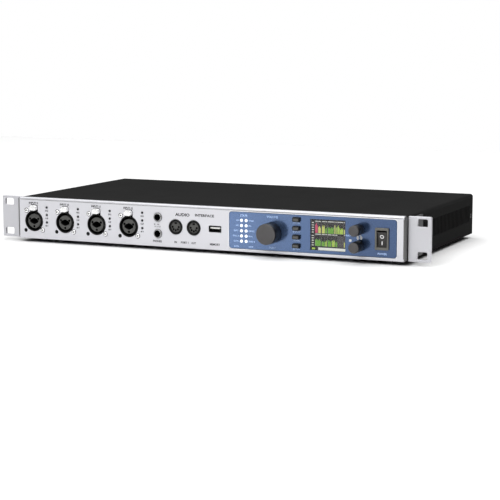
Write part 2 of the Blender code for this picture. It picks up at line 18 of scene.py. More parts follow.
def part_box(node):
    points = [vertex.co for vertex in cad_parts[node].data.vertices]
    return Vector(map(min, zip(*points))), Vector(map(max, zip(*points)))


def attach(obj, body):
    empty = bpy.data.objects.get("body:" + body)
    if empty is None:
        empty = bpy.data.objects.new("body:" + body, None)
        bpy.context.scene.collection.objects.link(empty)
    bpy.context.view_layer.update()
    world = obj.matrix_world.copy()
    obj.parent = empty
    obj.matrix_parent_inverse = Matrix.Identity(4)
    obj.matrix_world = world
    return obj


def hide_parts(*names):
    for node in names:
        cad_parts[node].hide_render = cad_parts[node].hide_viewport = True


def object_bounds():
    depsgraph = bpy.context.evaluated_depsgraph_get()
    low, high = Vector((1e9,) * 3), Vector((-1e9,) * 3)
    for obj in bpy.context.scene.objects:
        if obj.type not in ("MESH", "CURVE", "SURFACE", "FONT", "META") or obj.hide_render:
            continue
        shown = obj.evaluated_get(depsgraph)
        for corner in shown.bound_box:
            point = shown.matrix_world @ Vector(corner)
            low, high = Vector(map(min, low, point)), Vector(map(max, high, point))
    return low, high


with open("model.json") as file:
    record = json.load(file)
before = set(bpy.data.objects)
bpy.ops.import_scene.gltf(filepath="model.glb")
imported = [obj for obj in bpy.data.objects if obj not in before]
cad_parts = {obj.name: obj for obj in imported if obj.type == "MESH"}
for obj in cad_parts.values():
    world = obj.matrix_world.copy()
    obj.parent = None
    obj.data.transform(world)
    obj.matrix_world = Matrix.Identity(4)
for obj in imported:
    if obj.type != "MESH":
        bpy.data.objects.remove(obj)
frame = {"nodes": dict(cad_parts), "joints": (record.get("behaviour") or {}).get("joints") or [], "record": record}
cad_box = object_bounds()

MM = 0.001
CHASSIS = "chassis"
panel_low, panel_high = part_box("front_panel")
ORIGIN = Vector(((panel_low.x + panel_high.x) / 2, panel_low.y, panel_low.z))


def on_panel(place):
    """A place of the frame, in panel millimetres."""
    return (Vector(place) - ORIGIN) / MM


def limits(name):
    """Lowest and highest corner of a CAD node, in panel millimetres."""
    return [on_panel(corner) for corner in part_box(name)]


def named(entries, name):
    """The one of the frame's entries that has a name."""
    return next(entry for entry in entries if entry["name"] == name)


def pivot_of(joint):
    """Where a joint's axis lies, in panel millimetres."""
    return on_panel(named(frame["joints"], joint)["pos_m"])


def middle(name, box=limits):
    """Where a CAD node sits on its face: the middle of its box in x and z."""
    low, high = box(name)
    return (low.x + high.x) / 2, (low.z + high.z) / 2


def stated(name):
    """Lowest and highest corner of an opening that the record states, in panel millimetres."""
    found = named(frame["record"]["physics"]["openings"], name)
    return [on_panel(corner) for corner in found["box_m"]]


def opening(name):
    """Where a stated opening sits on its face."""
    return middle(name, stated)


HALF_WIDTH, THICKNESS, HEIGHT = limits("front_panel")[1]
DEPTH = limits("rear_panel")[1].y
INK = 0.03  # how far a printed mark stands out of its face
BOLD = 0.036  # how far a letter's outline is moved out, as a share of its height
BROAD_GRAIN = 30.0  # size of the slow change of colour over a surface
WEAR = 0.5  # how far from an edge its wear reaches
WEAR_PATCH = 2.5  # size of the patches that break the wear up
COVER_SKIN = 0.4  # depth behind the cover's sides that still counts as their outer face; deeper in, the coat is painted near black as painted shade
COVER_ROOF = 3.3  # depth below the cover's top that counts as its roof
FADE = 0.3  # over which the cover's painted shade fades in

# Faces of the object, each turning (u, out, v) into panel coordinates


def front(u, out, v):
    return u, -out, v


def rear(u, out, v):
    return u, DEPTH + out, v


def right_side(u, out, v):
    return HALF_WIDTH + out, u, v


def left_side(u, out, v):
    return -HALF_WIDTH - out, u, v


def below(u, out, v):
    return u, v, -out


def near_far(box, face):
    """How far out the near and the far side of a box lie, on the front or the rear."""
    low, high = box
    return (-low.y, -high.y) if face is front else (high.y - DEPTH, low.y - DEPTH)


def near_out(name, face):
    """How far a CAD node stands out in front of its face."""
    return near_far(limits(name), face)[0]


def bore_floor(name, face):
    """How far out the inner end of a stated opening lies, so below zero."""
    return near_far(stated(name), face)[1]


# Outlines, as lists of points that run counterclockwise


def circle(centre, radius, sides=48):
    turn = 2 * math.pi / sides
    return [
        (centre[0] + radius * math.cos(k * turn), centre[1] + radius * math.sin(k * turn))
        for k in range(sides)
    ]


def arc(centre, radius, start, end, steps):
    """Points along an arc between two angles in degrees."""
    angles = [math.radians(start + (end - start) * k / steps) for k in range(steps + 1)]
    return [(centre[0] + radius * math.cos(a), centre[1] + radius * math.sin(a)) for a in angles]


def slab(u, v, radius, steps=5):
    """A rectangle between two values of u and two of v, with round corners."""
    low_u, high_u = u[0] + radius, u[1] - radius
    low_v, high_v = v[0] + radius, v[1] - radius
    corners = [(high_u, high_v), (low_u, high_v), (low_u, low_v), (high_u, low_v)]
    points = []
    for quarter, corner in enumerate(corners):
        points += arc(corner, radius, 90 * quarter, 90 * quarter + 90, steps)
    return points


def about(centre, width, height, radius, steps=5):
    """A rectangle with round corners, given by its middle and size."""
    u, v = centre
    across = (u - width / 2, u + width / 2)
    return slab(across, (v - height / 2, v + height / 2), radius, steps)


def boxed(name, slack, radius, steps=3):
    """The outline of a CAD node's box on its face, made larger by the slack on every side."""
    low, high = limits(name)
    return slab((low.x - slack, high.x + slack), (low.z - slack, high.z + slack), radius, steps)


def keyhole(centre, radius, half_width, top, corner_radius):
    """A circle with a notch above it, for a socket and its release tab."""
    u, v = centre
    start = math.degrees(math.acos(half_width / radius))
    points = arc(centre, radius, 180 - start, 360 + start, 44)
    inset = half_width - corner_radius
    points += arc((u + inset, v + top - corner_radius), corner_radius, 0, 90, 5)
    return points + arc((u - inset, v + top - corner_radius), corner_radius, 90, 180, 5)


def eye(centre, radius, swell):
    """A round hole drawn out to a point on the left and on the right."""
    points = []
    for k in range(64):
        angle = k * math.pi / 32
        reach = radius + swell * abs(math.cos(angle)) ** 7
        points.append((centre[0] + reach * math.cos(angle), centre[1] + reach * math.sin(angle)))
    return points


def beside(centres, *offsets):
    """The places at the same few offsets from every centre."""
    return [(u + du, v + dv) for du, dv in offsets for u, v in centres]


def two_sided(centre, *half):
    """An outline about a centre, from the offsets of its right half and their mirror image."""
    return beside([centre], *half, *[(-du, dv) for du, dv in reversed(half)])


def grown(outline, amount):
    """The outline moved outwards by an amount, at every corner."""
    if not amount:
        return outline
    moved = []
    for k, point in enumerate(outline):
        here = Vector(point)
        before = here - Vector(outline[k - 1])
        after = Vector(outline[(k + 1) % len(outline)]) - here
        first = Vector((before.y, -before.x)).normalized()
        second = Vector((after.y, -after.x)).normalized()
        moved.append(here + (first + second) * amount / (1 + first.dot(second)))
    return [tuple(point) for point in moved]


# Steps of (grow, out), which say how an outline runs from the face inwards


def rim(size, near, far, count=3):
    """The wall of a solid from near to far, with its near edge rounded."""
    steps = []
    for k in range(count + 1):
        angle = k * math.pi / 2 / count
        steps.append((size * (math.sin(angle) - 1), near - size * (1 - math.cos(angle))))
    return steps + [(0, far)]


def mouth(size, near, far, count=3):
    """The wall of a hole from near to far, with its near edge rounded."""
    return [(-grow, out) for grow, out in rim(size, near, far, count)]


def tube_profile(outer, inner, near, far, lip=0.3):
    """A closed profile of (radius, out) points for a ring whose near edges are eased."""
    return [
        (inner, far),
        (inner, near - lip),
        (inner + lip, near),
        (outer - lip, near),
        (outer, near - lip),
        (outer, far),
    ]


def placed(name, data):
    """An object in the scene that shows the data."""
    made = bpy.data.objects.new(name, data)
    bpy.context.scene.collection.objects.link(made)
    return made


class Piece:
    """One piece in the making. paint is the one of its materials that new faces take."""

    def __init__(self, face, *materials, origin=(0, 0, 0)):
        self.face = face
        self.origin = Vector(origin)
        self.mesh = bmesh.new()
        self.flat = {}
        self.materials = materials
        self.paint = materials[0]

    def ring(self, outline, out):
        made = []
        for u, v in outline:
            place = Vector(self.face(u, out, v)) - self.origin
            corner = self.mesh.verts.new(place * MM)
            self.flat[corner] = Vector((u, v, 0))
            made.append(corner)
        return made

    def cover(self, corners):
        made = self.mesh.faces.new(corners)
        made.material_index = self.materials.index(self.paint)
        return made

    def bridge(self, first, second):
        for k in range(len(first)):
            after = (k + 1) % len(first)
            self.cover((first[k], first[after], second[after], second[k])).smooth = True

    def join(self, rings):
        for first, second in zip(rings, rings[1:]):
            self.bridge(first, second)
        return rings[0], rings[-1]

    def fill(self, ring, *holes):
        """A flat face inside a ring, around any holes."""
        if not holes:
            self.cover(ring)
            return
        rings = [ring, *holes]
        corners = [corner for each in rings for corner in each]
        for triangle in tessellate_polygon([[self.flat[c] for c in each] for each in rings]):
            self.cover([corners[k] for k in triangle])

    def wall(self, outline, steps):
        return self.join([self.ring(grown(outline, grow), out) for grow, out in steps])

    def solid(self, outline, steps):
        for ring in self.wall(outline, steps):
            self.fill(ring)

    def plate(self, outline, steps, holes=(), pockets=(), inside=None):
        """A solid with holes right through it, and pockets that have a floor.

        inside is the paint of the pockets, where that isn't the paint of the rest.
        """
        first, last = self.wall(outline, steps)
        walls = [self.wall(*hole) for hole in holes]
        outside = self.paint
        self.paint = inside or outside
        sunk = [self.wall(*pocket) for pocket in pockets]
        for pocket in sunk:
            self.fill(pocket[1])
        self.paint = outside
        self.fill(first, *[wall[0] for wall in walls + sunk])
        self.fill(last, *[wall[1] for wall in walls])

    def lathe(self, centre, profile, sides):
        """The wall of a profile of (radius, out) points turned about an axis across the face."""
        return self.join([self.ring(circle(centre, size, sides), out) for size, out in profile])

    def turned(self, centre, profile, sides=48, closed=False):
        """A solid with such a wall, or the ring that the profile makes when it is closed."""
        first, last = self.lathe(centre, profile, sides)
        if closed:
            self.bridge(last, first)
            return
        self.fill(first)
        self.fill(last)

    def text(self, words, u, v, height, width, out=0.0, upright=False):
        """Raised lettering, centred on a place. On the rear it is turned to read from behind."""
        curve = bpy.data.curves.new("words", "FONT")
        curve.body = words
        curve.extrude = 0.01
        curve.offset = BOLD
        curve.resolution_u = 2
        shown = placed("words", curve)
        bpy.context.view_layer.update()
        flat = shown.evaluated_get(bpy.context.evaluated_depsgraph_get()).to_mesh()
        xs = [p.co.x for p in flat.vertices]
        ys = [p.co.y for p in flat.vertices]
        made = []
        for point in flat.vertices:
            across = width * ((point.co.x - min(xs)) / (max(xs) - min(xs)) - 0.5)
            up = height * ((point.co.y - min(ys)) / (max(ys) - min(ys)) - 0.5)
            if upright:
                across, up = -up, across
            if self.face is rear:
                across = -across
            place = Vector(self.face(u + across, out + (INK if point.co.z > 0 else -INK), v + up))
            made.append(self.mesh.verts.new((place - self.origin) * MM))
        for polygon in flat.polygons:
            corners = [made[k] for k in polygon.vertices]
            if not self.mesh.faces.get(corners):
                self.cover(corners)
        bpy.data.objects.remove(shown)
        bpy.data.curves.remove(curve)

    def stripe(self, u, v, out=0.0):
        """A printed bar."""
        self.solid(slab(sorted(u), v, 0.05, 1), [(0, out + INK), (0, out - INK)])

    def finish(self, name, slot, *nodes, body=CHASSIS):
        bmesh.ops.recalc_face_normals(self.mesh, faces=self.mesh.faces)
        data = bpy.data.meshes.new(name)
        rounded = [face.smooth for face in self.mesh.faces]
        self.mesh.to_mesh(data)
        self.mesh.free()
        data.set_sharp_from_angle(angle=math.radians(40))
        data.polygons.foreach_set("use_smooth", rounded)
        for each in self.materials:
            data.materials.append(each)
        made = placed(name, data)
        made.location = ORIGIN + self.origin * MM
        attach(made, body)
        if nodes:
            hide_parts(*nodes)
        return made


# Materials


def node(tree, kind, inputs=None, **settings):
    """A shader node. An input is a value, or another node's output to link."""
    made = tree.nodes.new("ShaderNode" + kind)
    for key, value in settings.items():
        setattr(made, key, value)
    for key, value in (inputs or {}).items():
        if isinstance(value, bpy.types.NodeSocket):
            tree.links.new(value, made.inputs[key])
        else:
            made.inputs[key].default_value = value
    return made


def maths(tree, operation, *values):
    return node(tree, "Math", dict(enumerate(values)), operation=operation).outputs["Value"]


def noise(tree, where, size, detail=3.0):
    """Soft random variation between 0 and 1, with features of a size in millimetres."""
    inputs = {"Vector": where, "Scale": 1 / (size * MM), "Detail": detail}
    return node(tree, "TexNoise", inputs).outputs["Fac"]


def spread(tree, value, low, high, start=0.3, end=0.7):
    inputs = {"Value": value, "From Min": start, "From Max": end, "To Min": low, "To Max": high}
    return node(tree, "MapRange", inputs).outputs["Result"]


def blend_colours(tree, share, first, second):
    made = node(tree, "MixRGB", {"Fac": share})
    for key, value in (("Color1", first), ("Color2", second)):
        if isinstance(value, tuple):
            made.inputs[key].default_value = (*value, 1.0)
        else:
            tree.links.new(value, made.inputs[key])
    return made.outputs["Color"]


def edge_share(tree, where):
    """How near a surface is to a worn edge, broken up so that the wear is patchy."""
    soft = node(tree, "Bevel", {"Radius": WEAR * MM}, samples=6).outputs["Normal"]
    true = node(tree, "NewGeometry").outputs["Normal"]
    same = node(tree, "VectorMath", {0: soft, 1: true}, operation="DOT_PRODUCT").outputs["Value"]
    edge = spread(tree, same, 1.0, 0.0, 0.82, 0.99)
    patchy = spread(tree, noise(tree, where, WEAR_PATCH), 0.0, 1.0, 0.4, 0.6)
    return maths(tree, "MULTIPLY", edge, patchy)


def raise_bump(tree, shader, height, distance):
    """Bumps the shader's surface by a distance in millimetres."""
    bumped = node(tree, "Bump", {"Height": height, "Strength": 1.0, "Distance": distance * MM})
    tree.links.new(bumped.outputs["Normal"], shader.inputs["Normal"])


def parts_of(made):
    """A material's tree, its shader, and the place on the piece that its textures go by."""
    tree = made.node_tree
    return tree, tree.nodes["Principled BSDF"], node(tree, "TexCoord").outputs["Object"]


def surface(name, colour, roughness, metallic=0.0, grain=0.4, mottle=0.06, bump=0.015, worn=None, **values):
    """A real surface: its colour and gloss wander a little, over a fine bump.

    grain is the size of the texture and bump its height, in millimetres; worn is the colour that
    shows through along the edges; values are further inputs of the shader.
    """
    made = bpy.data.materials.new(name)
    made.use_nodes = True
    tree, shader, place = parts_of(made)
    shader.inputs["Metallic"].default_value = metallic
    for key, value in values.items():
        words = "Specular IOR Level" if key == "specular" else key.replace("_", " ").title()
        shader.inputs[words].default_value = value
    fine = noise(tree, place, grain)
    both = maths(tree, "ADD", fine, noise(tree, place, BROAD_GRAIN))
    share = spread(tree, both, 0.0, 1.0, 0.7, 1.3)
    dark = tuple(value * (1 - mottle) for value in colour)
    light = tuple(min(value * (1 + mottle), 1.0) for value in colour)
    shade = blend_colours(tree, share, dark, light)
    if worn:
        shade = blend_colours(tree, edge_share(tree, place), shade, worn)
    tree.links.new(shade, shader.inputs["Base Color"])
    gloss = spread(tree, fine, max(roughness - 0.05, 0.02), roughness + 0.06)
    tree.links.new(gloss, shader.inputs["Roughness"])
    raise_bump(tree, shader, fine, bump)
    return made


def turned_metal(name, colour, roughness, metallic, pitch):
    """A lathe-cut face: fine rings about the piece's own axis, along Y."""
    made = surface(name, colour, roughness, metallic, grain=0.3, bump=0.01)
    tree, shader, place = parts_of(made)
    inputs = {"Vector": place, "Scale": 0.32 / (pitch * MM), "Distortion": 0.6, "Detail": 2.0}
    rings = node(tree, "TexWave", inputs, wave_type="RINGS", rings_direction="Y").outputs["Fac"]
    raise_bump(tree, shader, rings, 0.02)
    return made


def glowing(name, colour, strength, cell):
    """A lit surface made of fine cells, as a screen or a lamp has."""
    made = surface(name, tuple(0.15 * value for value in colour), 0.25, grain=0.2, bump=0.002)
    tree, shader, place = parts_of(made)
    cells = node(tree, "TexVoronoi", {"Vector": place, "Scale": 1 / (cell * MM), "Randomness": 0.0})
    share = spread(tree, cells.outputs["Distance"], 0.0, 1.0, 0.2, 0.7)
    dim = tuple(0.72 * value for value in colour)
    tree.links.new(blend_colours(tree, share, colour, dim), shader.inputs["Emission Color"])
    shader.inputs["Emission Strength"].default_value = strength
    return made


def circuit_board_painted_shade():
    # painted shade: the board's greens are kept very dark, for the shade inside the closed case
    made = surface("circuit_board_painted_shade", (0.008, 0.045, 0.02), 0.35, grain=0.3)
    tree, shader, place = parts_of(made)
    tracks = node(tree, "TexVoronoi", {"Vector": place, "Scale": 260.0}, distance="MANHATTAN")
    share = spread(tree, tracks.outputs["Distance"], 0.0, 1.0, 0.42, 0.5)
    shade = blend_colours(tree, share, (0.006, 0.036, 0.018), (0.025, 0.10, 0.045))
    tree.links.new(shade, shader.inputs["Base Color"])
    return made


def overlay_paint_with_painted_reflection():
    """Glossy blue metal paint, with a painted reflection: lighter on the left of the overlay and darker towards
    the right.
    """
    made = surface("blue_overlay_painted_reflection", (0.1, 0.2, 0.4), 0.20, 0.75, grain=1.2, bump=0.002, coat_weight=0.4)
    tree, shader, place = parts_of(made)
    along = node(tree, "SeparateXYZ", {"Vector": place}).outputs["X"]
    share = spread(tree, along, 0.0, 1.0, 0.0, 0.19)
    # painted reflection: the blue fades from light on the left to dark on the right
    shade = blend_colours(tree, share, (0.125, 0.20, 0.375), (0.045, 0.083, 0.18))
    tree.links.new(shade, shader.inputs["Base Color"])
    return made


def cover_coat_with_painted_shade():
    """The cover's coat, with painted shade: darker on its sides than on its top, and next to black in the slots
    and on its inside.
    """
    made = surface("black_cover_painted_shade", grey(0.016), 0.7, grain=0.5, mottle=0.1, bump=0.04, specular=0.02)
    tree, shader, place = parts_of(made)
    coat = shader.inputs["Base Color"]
    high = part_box("top_cover")[1]
    axes = node(tree, "SeparateXYZ", {"Vector": place})
    across = maths(tree, "ABSOLUTE", axes.outputs["X"])
    skin, eaves = high.x - COVER_SKIN * MM, high.z - COVER_ROOF * MM
    side = spread(tree, across, 0.0, 1.0, skin, skin + FADE * MM)
    roof = spread(tree, axes.outputs["Z"], 0.0, 1.0, eaves, eaves + FADE * MM)
    outside = maths(tree, "MAXIMUM", side, roof)
    # painted shade: the sides take a darker black than the roof
    outer = blend_colours(tree, roof, grey(0.010), coat.links[0].from_socket)
    # painted shade: the slots and the inside of the cover turn next to black
    tree.links.new(blend_colours(tree, outside, grey(0.001), outer), coat)
    return made


def grey(level, blue=1.0):
    return level, level, level * blue


SILVER = surface("silver_anodised", grey(0.70, 1.05), 0.42, 0.5, grain=0.25, mottle=0.03, bump=0.006)
# a bright cut edge, whitened further as a painted highlight
SILVER_CUT_HIGHLIGHT = surface("silver_cut_edge_painted_highlight", grey(0.93, 1.02), 0.36, 0.4, grain=0.3, mottle=0.03, bump=0.004)
EAR_SILVER = surface("silver_ear", grey(0.60, 1.05), 0.40, 0.5, grain=0.3, mottle=0.04, bump=0.008)
BLUE = overlay_paint_with_painted_reflection()
COVER = surface("black_powder_coat", grey(0.016), 0.7, grain=0.5, mottle=0.1, bump=0.04, specular=0.02)
COVER_WITH_PAINTED_SHADE = cover_coat_with_painted_shade()
REAR = surface("black_rear_paint", grey(0.042, 1.08), 0.5, mottle=0.18, bump=0.02, worn=grey(0.12))
MOULDED = surface("black_moulding", grey(0.006), 0.4, grain=0.5, mottle=0.2, bump=0.02, specular=0.22)
INSERT = surface("grey_moulding", (0.062, 0.062, 0.058), 0.5, grain=0.5, mottle=0.12, bump=0.02)
# painted shade: near black for bores, holes, gaps and recesses where shade falls
HOLLOW_SHADE = surface("painted_hollow_shade", grey(0.003), 0.8, grain=0.6, mottle=0.2, bump=0.02, specular=0.1)
LATCH = surface("nickel_latch", grey(0.88), 0.24, 0.7, grain=0.5, mottle=0.05, bump=0.012)
CHROME = surface("bright_nickel", grey(0.72), 0.18, 1.0, grain=0.8, mottle=0.05, bump=0.006)
# painted shade: a darker metal for the front panel's two ends
PANEL_END_SHADE = surface("panel_end_painted_shade", grey(0.15), 0.35, 0.9, grain=0.3, mottle=0.05, bump=0.008)
PLATED = surface("plated_steel", grey(0.42), 0.26, 0.95, mottle=0.08, bump=0.008)
CONTACT = surface("gold_contact", (0.72, 0.55, 0.26), 0.25, 1.0, mottle=0.08, bump=0.006)
KNOB_SIDE = surface("knob_side", grey(0.006), 0.34, grain=0.3, mottle=0.15, bump=0.02, specular=0.3)
KNOB_FACE = turned_metal("knob_face", (0.070, 0.067, 0.068), 0.42, 0.2, 0.35)
BUTTON = surface("button_moulding", (0.075, 0.075, 0.070), 0.42, grain=0.3, mottle=0.12)
BEZEL = surface("switch_bezel", (0.125, 0.122, 0.108), 0.45, mottle=0.1, bump=0.02)
ROCKER = surface("switch_rocker", (0.024, 0.022, 0.021), 0.34, mottle=0.12, bump=0.012)
FLAP = surface("white_flap", (0.74, 0.74, 0.71), 0.35, grain=0.5, mottle=0.04, bump=0.01)
BLUE_WALL = surface("blue_port_wall", (0.008, 0.04, 0.22), 0.40, mottle=0.1, bump=0.01)
BLUE_TONGUE = surface("blue_port_tongue", (0.02, 0.20, 0.80), 0.40, mottle=0.08, bump=0.01)
RUBBER = surface("foot_rubber", grey(0.014), 0.85, grain=0.6, mottle=0.2, bump=0.05)
INK_DARK = surface("ink_dark", grey(0.010, 1.2), 0.55, grain=0.3, mottle=0.15, bump=0.004)
INK_WHITE = surface("ink_white", grey(0.80), 0.5, grain=0.3, mottle=0.06, bump=0.004)
INK_PALE = surface("ink_pale_blue", (0.42, 0.58, 0.90), 0.35, grain=0.3, bump=0.004)
PAPER = surface("sticker_paper", grey(0.84), 0.6, grain=0.3, mottle=0.03, bump=0.004)
PRINT = surface("sticker_print", grey(0.22), 0.6, grain=0.2, mottle=0.3, bump=0.004)
LENS_DARK = surface("lamp_unlit", grey(0.030, 1.15), 0.12, grain=0.5, mottle=0.15, bump=0.006)
GLASS = surface("display_glass", grey(0.05), 0.06, grain=2.0, mottle=0.1, bump=0.001, alpha=0.08)
BOARD = circuit_board_painted_shade()
LIT_WHITE = glowing("lamp_lit", (0.90, 0.95, 1.0), 1.6, 0.5)
PIXEL_CELL = 0.35
SCREEN_LIGHT = {  # colour and strength
    "grey": ((0.085, 0.080, 0.085), 1.0),
    "black": ((0.012, 0.012, 0.012), 0.6),
    "white": ((0.80, 0.82, 0.76), 1.1),
    "green": ((0.16, 0.42, 0.04), 1.1),
    "lime": ((0.42, 0.62, 0.08), 1.1),
    "yellow": ((0.62, 0.66, 0.16), 1.1),
    "red": ((0.60, 0.06, 0.14), 1.1),
}
SCREEN = {word: glowing(f"screen_{word}", *light, PIXEL_CELL) for word, light in SCREEN_LIGHT.items()}

# Places that the front and the rear are drawn from

COMBOS = [opening(f"input_socket_{n}_bore") for n in range(1, 5)]
PHONES = [opening(f"phones_bore_{n}") for n in (1, 2)]
OVERLAY_LOW, OVERLAY_HIGH = limits("control_overlay")
OVERLAY_FACE = -OVERLAY_LOW.y
POCKET = -1.5  # how far out the floor under the overlay lies
LAMP_COLUMNS = (OVERLAY_LOW.x + 13.4, OVERLAY_LOW.x + 18.5)
LAMP_ROWS = [OVERLAY_HIGH.z - 8.4 - 5.25 * k for k in range(5)]
LAMPS = [(u, v) for u in LAMP_COLUMNS for v in LAMP_ROWS]
LAMP_RADIUS = 1.45
LEVEL_OFFSET = 15.9  # from an input socket's axis to its level lamps
LEVEL_ROWS = {"SIG": 34.1, "CLIP": 26.1, "48 V": 18.1}
LEVELS = [(x + LEVEL_OFFSET, row) for x, _ in COMBOS for row in LEVEL_ROWS.values()]
LEVEL_RADIUS = 1.25
LENS_GAP = 0.15  # between a lamp and the edge of its hole
FRONT_HOLES = {"input": 11.1, "phones": 4.9, "round": 7.9}  # radius of the round holes
REAR_HOLES = {"round": 8.5, "coaxial": 5.9, "xlr": 11.5, "jack": 5.2}
FLAT_HOLE = (13.9, 6.7)  # size of the opening before the front's flat socket
SWITCH_HOLE = (13.0, 20.4)
BUTTON_SIZE = (7.3, 4.2)
BUTTON_GAP = 0.6  # what a button's hole is wider and higher by
NOTCH = (4.9, 17.6)  # half the width of a release tab's notch, and its height above the axis
KNOBS = {"volume": 4.0, "upper": 3.5, "lower": 3.5}  # radius of the hole behind each knob
JACKS = {  # an upper and a lower row each
    word: [[opening(f"{word}_jack_{n}_{row}_bore") for n in numbers] for row in ("upper", "lower")]
    for word, numbers in (("output", (1, 2, 3)), ("input", (1, 2, 3, 4)))
}
JACK_BORE = 3.2  # radius
MALE_XLRS = ("aes_output", "line_output_7", "line_output_8")
INPUT_POLES = (5.6, 25, 155, 270)  # radius of the circle that the poles are on, and their angles
XLR_POLES = (3.9, 0, 180, 270)
XLR_RISE = 13.5  # height of a three-pole socket's axis above its body's lower edge
EDGE = 1.5  # radius of the front panel's rounded edge
END_ROUNDING = 2.2  # at its two ends the panel is rounded this many times as far in
END_DEPTH = 1.9  # how much of each end is painted in a darker metal, as painted shade
GROOVE_INSET = 3.8  # from the panel's ends to the ends of the groove under its upper edge
GROOVE = (HEIGHT - 2.55, HEIGHT - 1.95)
BNCS = ("word_clock_input", "word_clock_output")
DOORS = {port: [f"optical_{port}_{use}_shutter" for use in ("output", "input")] for port in "ab"}


def round_centres(name):
    """The two socket axes of a round five-pole pair, from the housing's box."""
    low, high = limits(name)
    inset = 9.2
    z = middle(name)[1]
    return (low.x + inset, z), (high.x - inset, z)


def xlr_centre(name):
    return middle(name)[0], limits(name)[0].z + XLR_RISE


# Front panel


def control_holes(slack):
    """Holes for the knobs' shafts, the buttons, the display and the power switch."""
    holes = [circle(middle(f"{name}_knob"), size, 32) for name, size in KNOBS.items()]
    size = [side + BUTTON_GAP + slack for side in BUTTON_SIZE]
    holes += [about(middle(f"menu_button_{n}"), *size, 0.6, 3) for n in range(1, 5)]
    holes.append(boxed("display_window", 0.3, 0.4))
    holes.append(about(middle("power_switch_frame"), *SWITCH_HOLE, 0.5, 3))
    return holes


def front_plate():
    """The thick front panel, with rounded edges, a fine groove and the sunk control area."""
    piece = Piece(front, SILVER, SILVER_CUT_HIGHLIGHT, PLATED, PANEL_END_SHADE)
    rings = []
    for grow, out in rim(EDGE, 0, -THICKNESS, 5):
        across = HALF_WIDTH + END_ROUNDING * grow
        rings.append(piece.ring(slab((-across, across), (-grow, HEIGHT + grow), 2.4, 6), out))
    first, back = piece.join(rings)
    # painted shade: the faces at the panel's two ends take a darker metal
    for end in piece.mesh.faces:
        if abs(end.calc_center_median().x) > (HALF_WIDTH - END_DEPTH) * MM:
            end.material_index = piece.materials.index(PANEL_END_SHADE)
    holes = [keyhole(centre, FRONT_HOLES["input"], *NOTCH, 2.6) for centre in COMBOS]
    holes += [circle(centre, FRONT_HOLES["phones"], 40) for centre in PHONES]
    holes += [circle(centre, FRONT_HOLES["round"]) for centre in round_centres("front_midi_sockets")]
    holes.append(about(middle("front_usb_socket"), *FLAT_HOLE, 0.5, 3))
    holes += [circle(place, LEVEL_RADIUS + LENS_GAP, 20) for place in LEVELS]
    walls = [piece.wall(hole, mouth(0.2, 0, -THICKNESS)) for hole in holes]
    length = (-HALF_WIDTH + GROOVE_INSET, HALF_WIDTH - GROOVE_INSET)
    groove = slab(length, GROOVE, 0.2, 2)
    # painted shade: the groove's walls and floor take the darker plated metal
    piece.paint = PLATED
    groove_top, groove_floor = piece.wall(groove, [(0, 0), (-0.15, -0.15)])
    piece.fill(groove_floor)
    # the pocket's lip: a bright cut edge, whitened further as a painted highlight
    piece.paint = SILVER_CUT_HIGHLIGHT
    pocket = boxed("control_overlay", 0.15, 2.8, 5)
    pocket_top, lip = piece.wall(pocket, [(0.8, 0.0), (0.3, -0.05), (0.15, -0.3)])
    piece.paint = SILVER
    pocket_floor = piece.ring(pocket, POCKET)
    piece.bridge(lip, pocket_floor)
    inner = [piece.wall(hole, [(0, POCKET), (0, -THICKNESS)]) for hole in control_holes(0.3)]
    piece.fill(first, *[wall[0] for wall in walls], groove_top, pocket_top)
    piece.fill(pocket_floor, *[wall[0] for wall in inner])
    piece.fill(back, *[wall[1] for wall in walls + inner])
    piece.finish("front_plate", "panel_silver", "front_panel")


def overlay_face():
    """The glossy blue control area with its drilled holes for the status lamps."""
    piece = Piece(front, BLUE)
    near, far = near_far(limits("control_overlay"), front)
    steps = mouth(0.12, near, far, 2)
    holes = [(hole, steps) for hole in control_holes(0)]
    holes += [(circle(place, LAMP_RADIUS + LENS_GAP, 28), steps) for place in LAMPS]
    piece.plate(boxed("control_overlay", 0, 2.7, 5), rim(0.25, near, far), holes)
    piece.finish("overlay_face", "overlay_blue", "control_overlay")


def lamps(name, slot, lens, places, radius, near, far):
    """Domed lenses, each rising by half its radius."""
    piece = Piece(front, lens)
    angles = (1.35, 1.0, 0.65, 0.3, 0.0)
    dome = [(radius * math.cos(a), near + 0.5 * radius * math.sin(a)) for a in angles]
    for centre in places:
        piece.turned(centre, [*dome, (radius, far)], 28)
    piece.finish(name, slot)


def screws(name, face, places, radius, height, metal, slot):
    """Domed heads with a hexagonal recess painted near black as painted shade, each in a painted shadow ring where
    it meets the panel.
    """
    piece = Piece(face, metal, HOLLOW_SHADE)
    for centre in places:
        piece.paint = metal
        crown = [(radius, -0.1), (radius, 0.45 * height), (0.9 * radius, 0.8 * height)]
        crown.append((0.62 * radius, height))
        base, shoulder = piece.lathe(centre, crown, 24)
        hexagon = circle(centre, 0.4 * radius, 6)
        top = piece.ring(hexagon, height)
        piece.fill(shoulder, top)
        piece.fill(base)
        # painted shade: the recess is near black
        piece.paint = HOLLOW_SHADE
        floor = piece.ring(hexagon, height * 0.15)
        piece.bridge(top, floor)
        piece.fill(floor)
        # painted shadow: a near black ring round the head, on the panel
        piece.turned(centre, [(radius + 0.45, -0.1), (radius + 0.45, 0.04), (radius, 0.06)], 24)
    piece.finish(name, slot)


def front_screws():
    """Each input socket is held by two bright screws, and has a dark plug in its third hole."""
    bright = beside(COMBOS, (-9.3, 11.0), (10.5, -9.3))
    screws("front_screws", front, bright, 2.3, 0.9, LATCH, "chrome")
    plugs = beside(COMBOS, (-10.3, -10.2))
    screws("front_hole_plugs", front, plugs, 1.6, 0.3, MOULDED, "socket_black")


# Sockets used on both faces


def poles(centre, radius, *angles):
    """Places on a circle, at angles in degrees."""
    return [arc(centre, radius, angle, angle, 1)[0] for angle in angles]


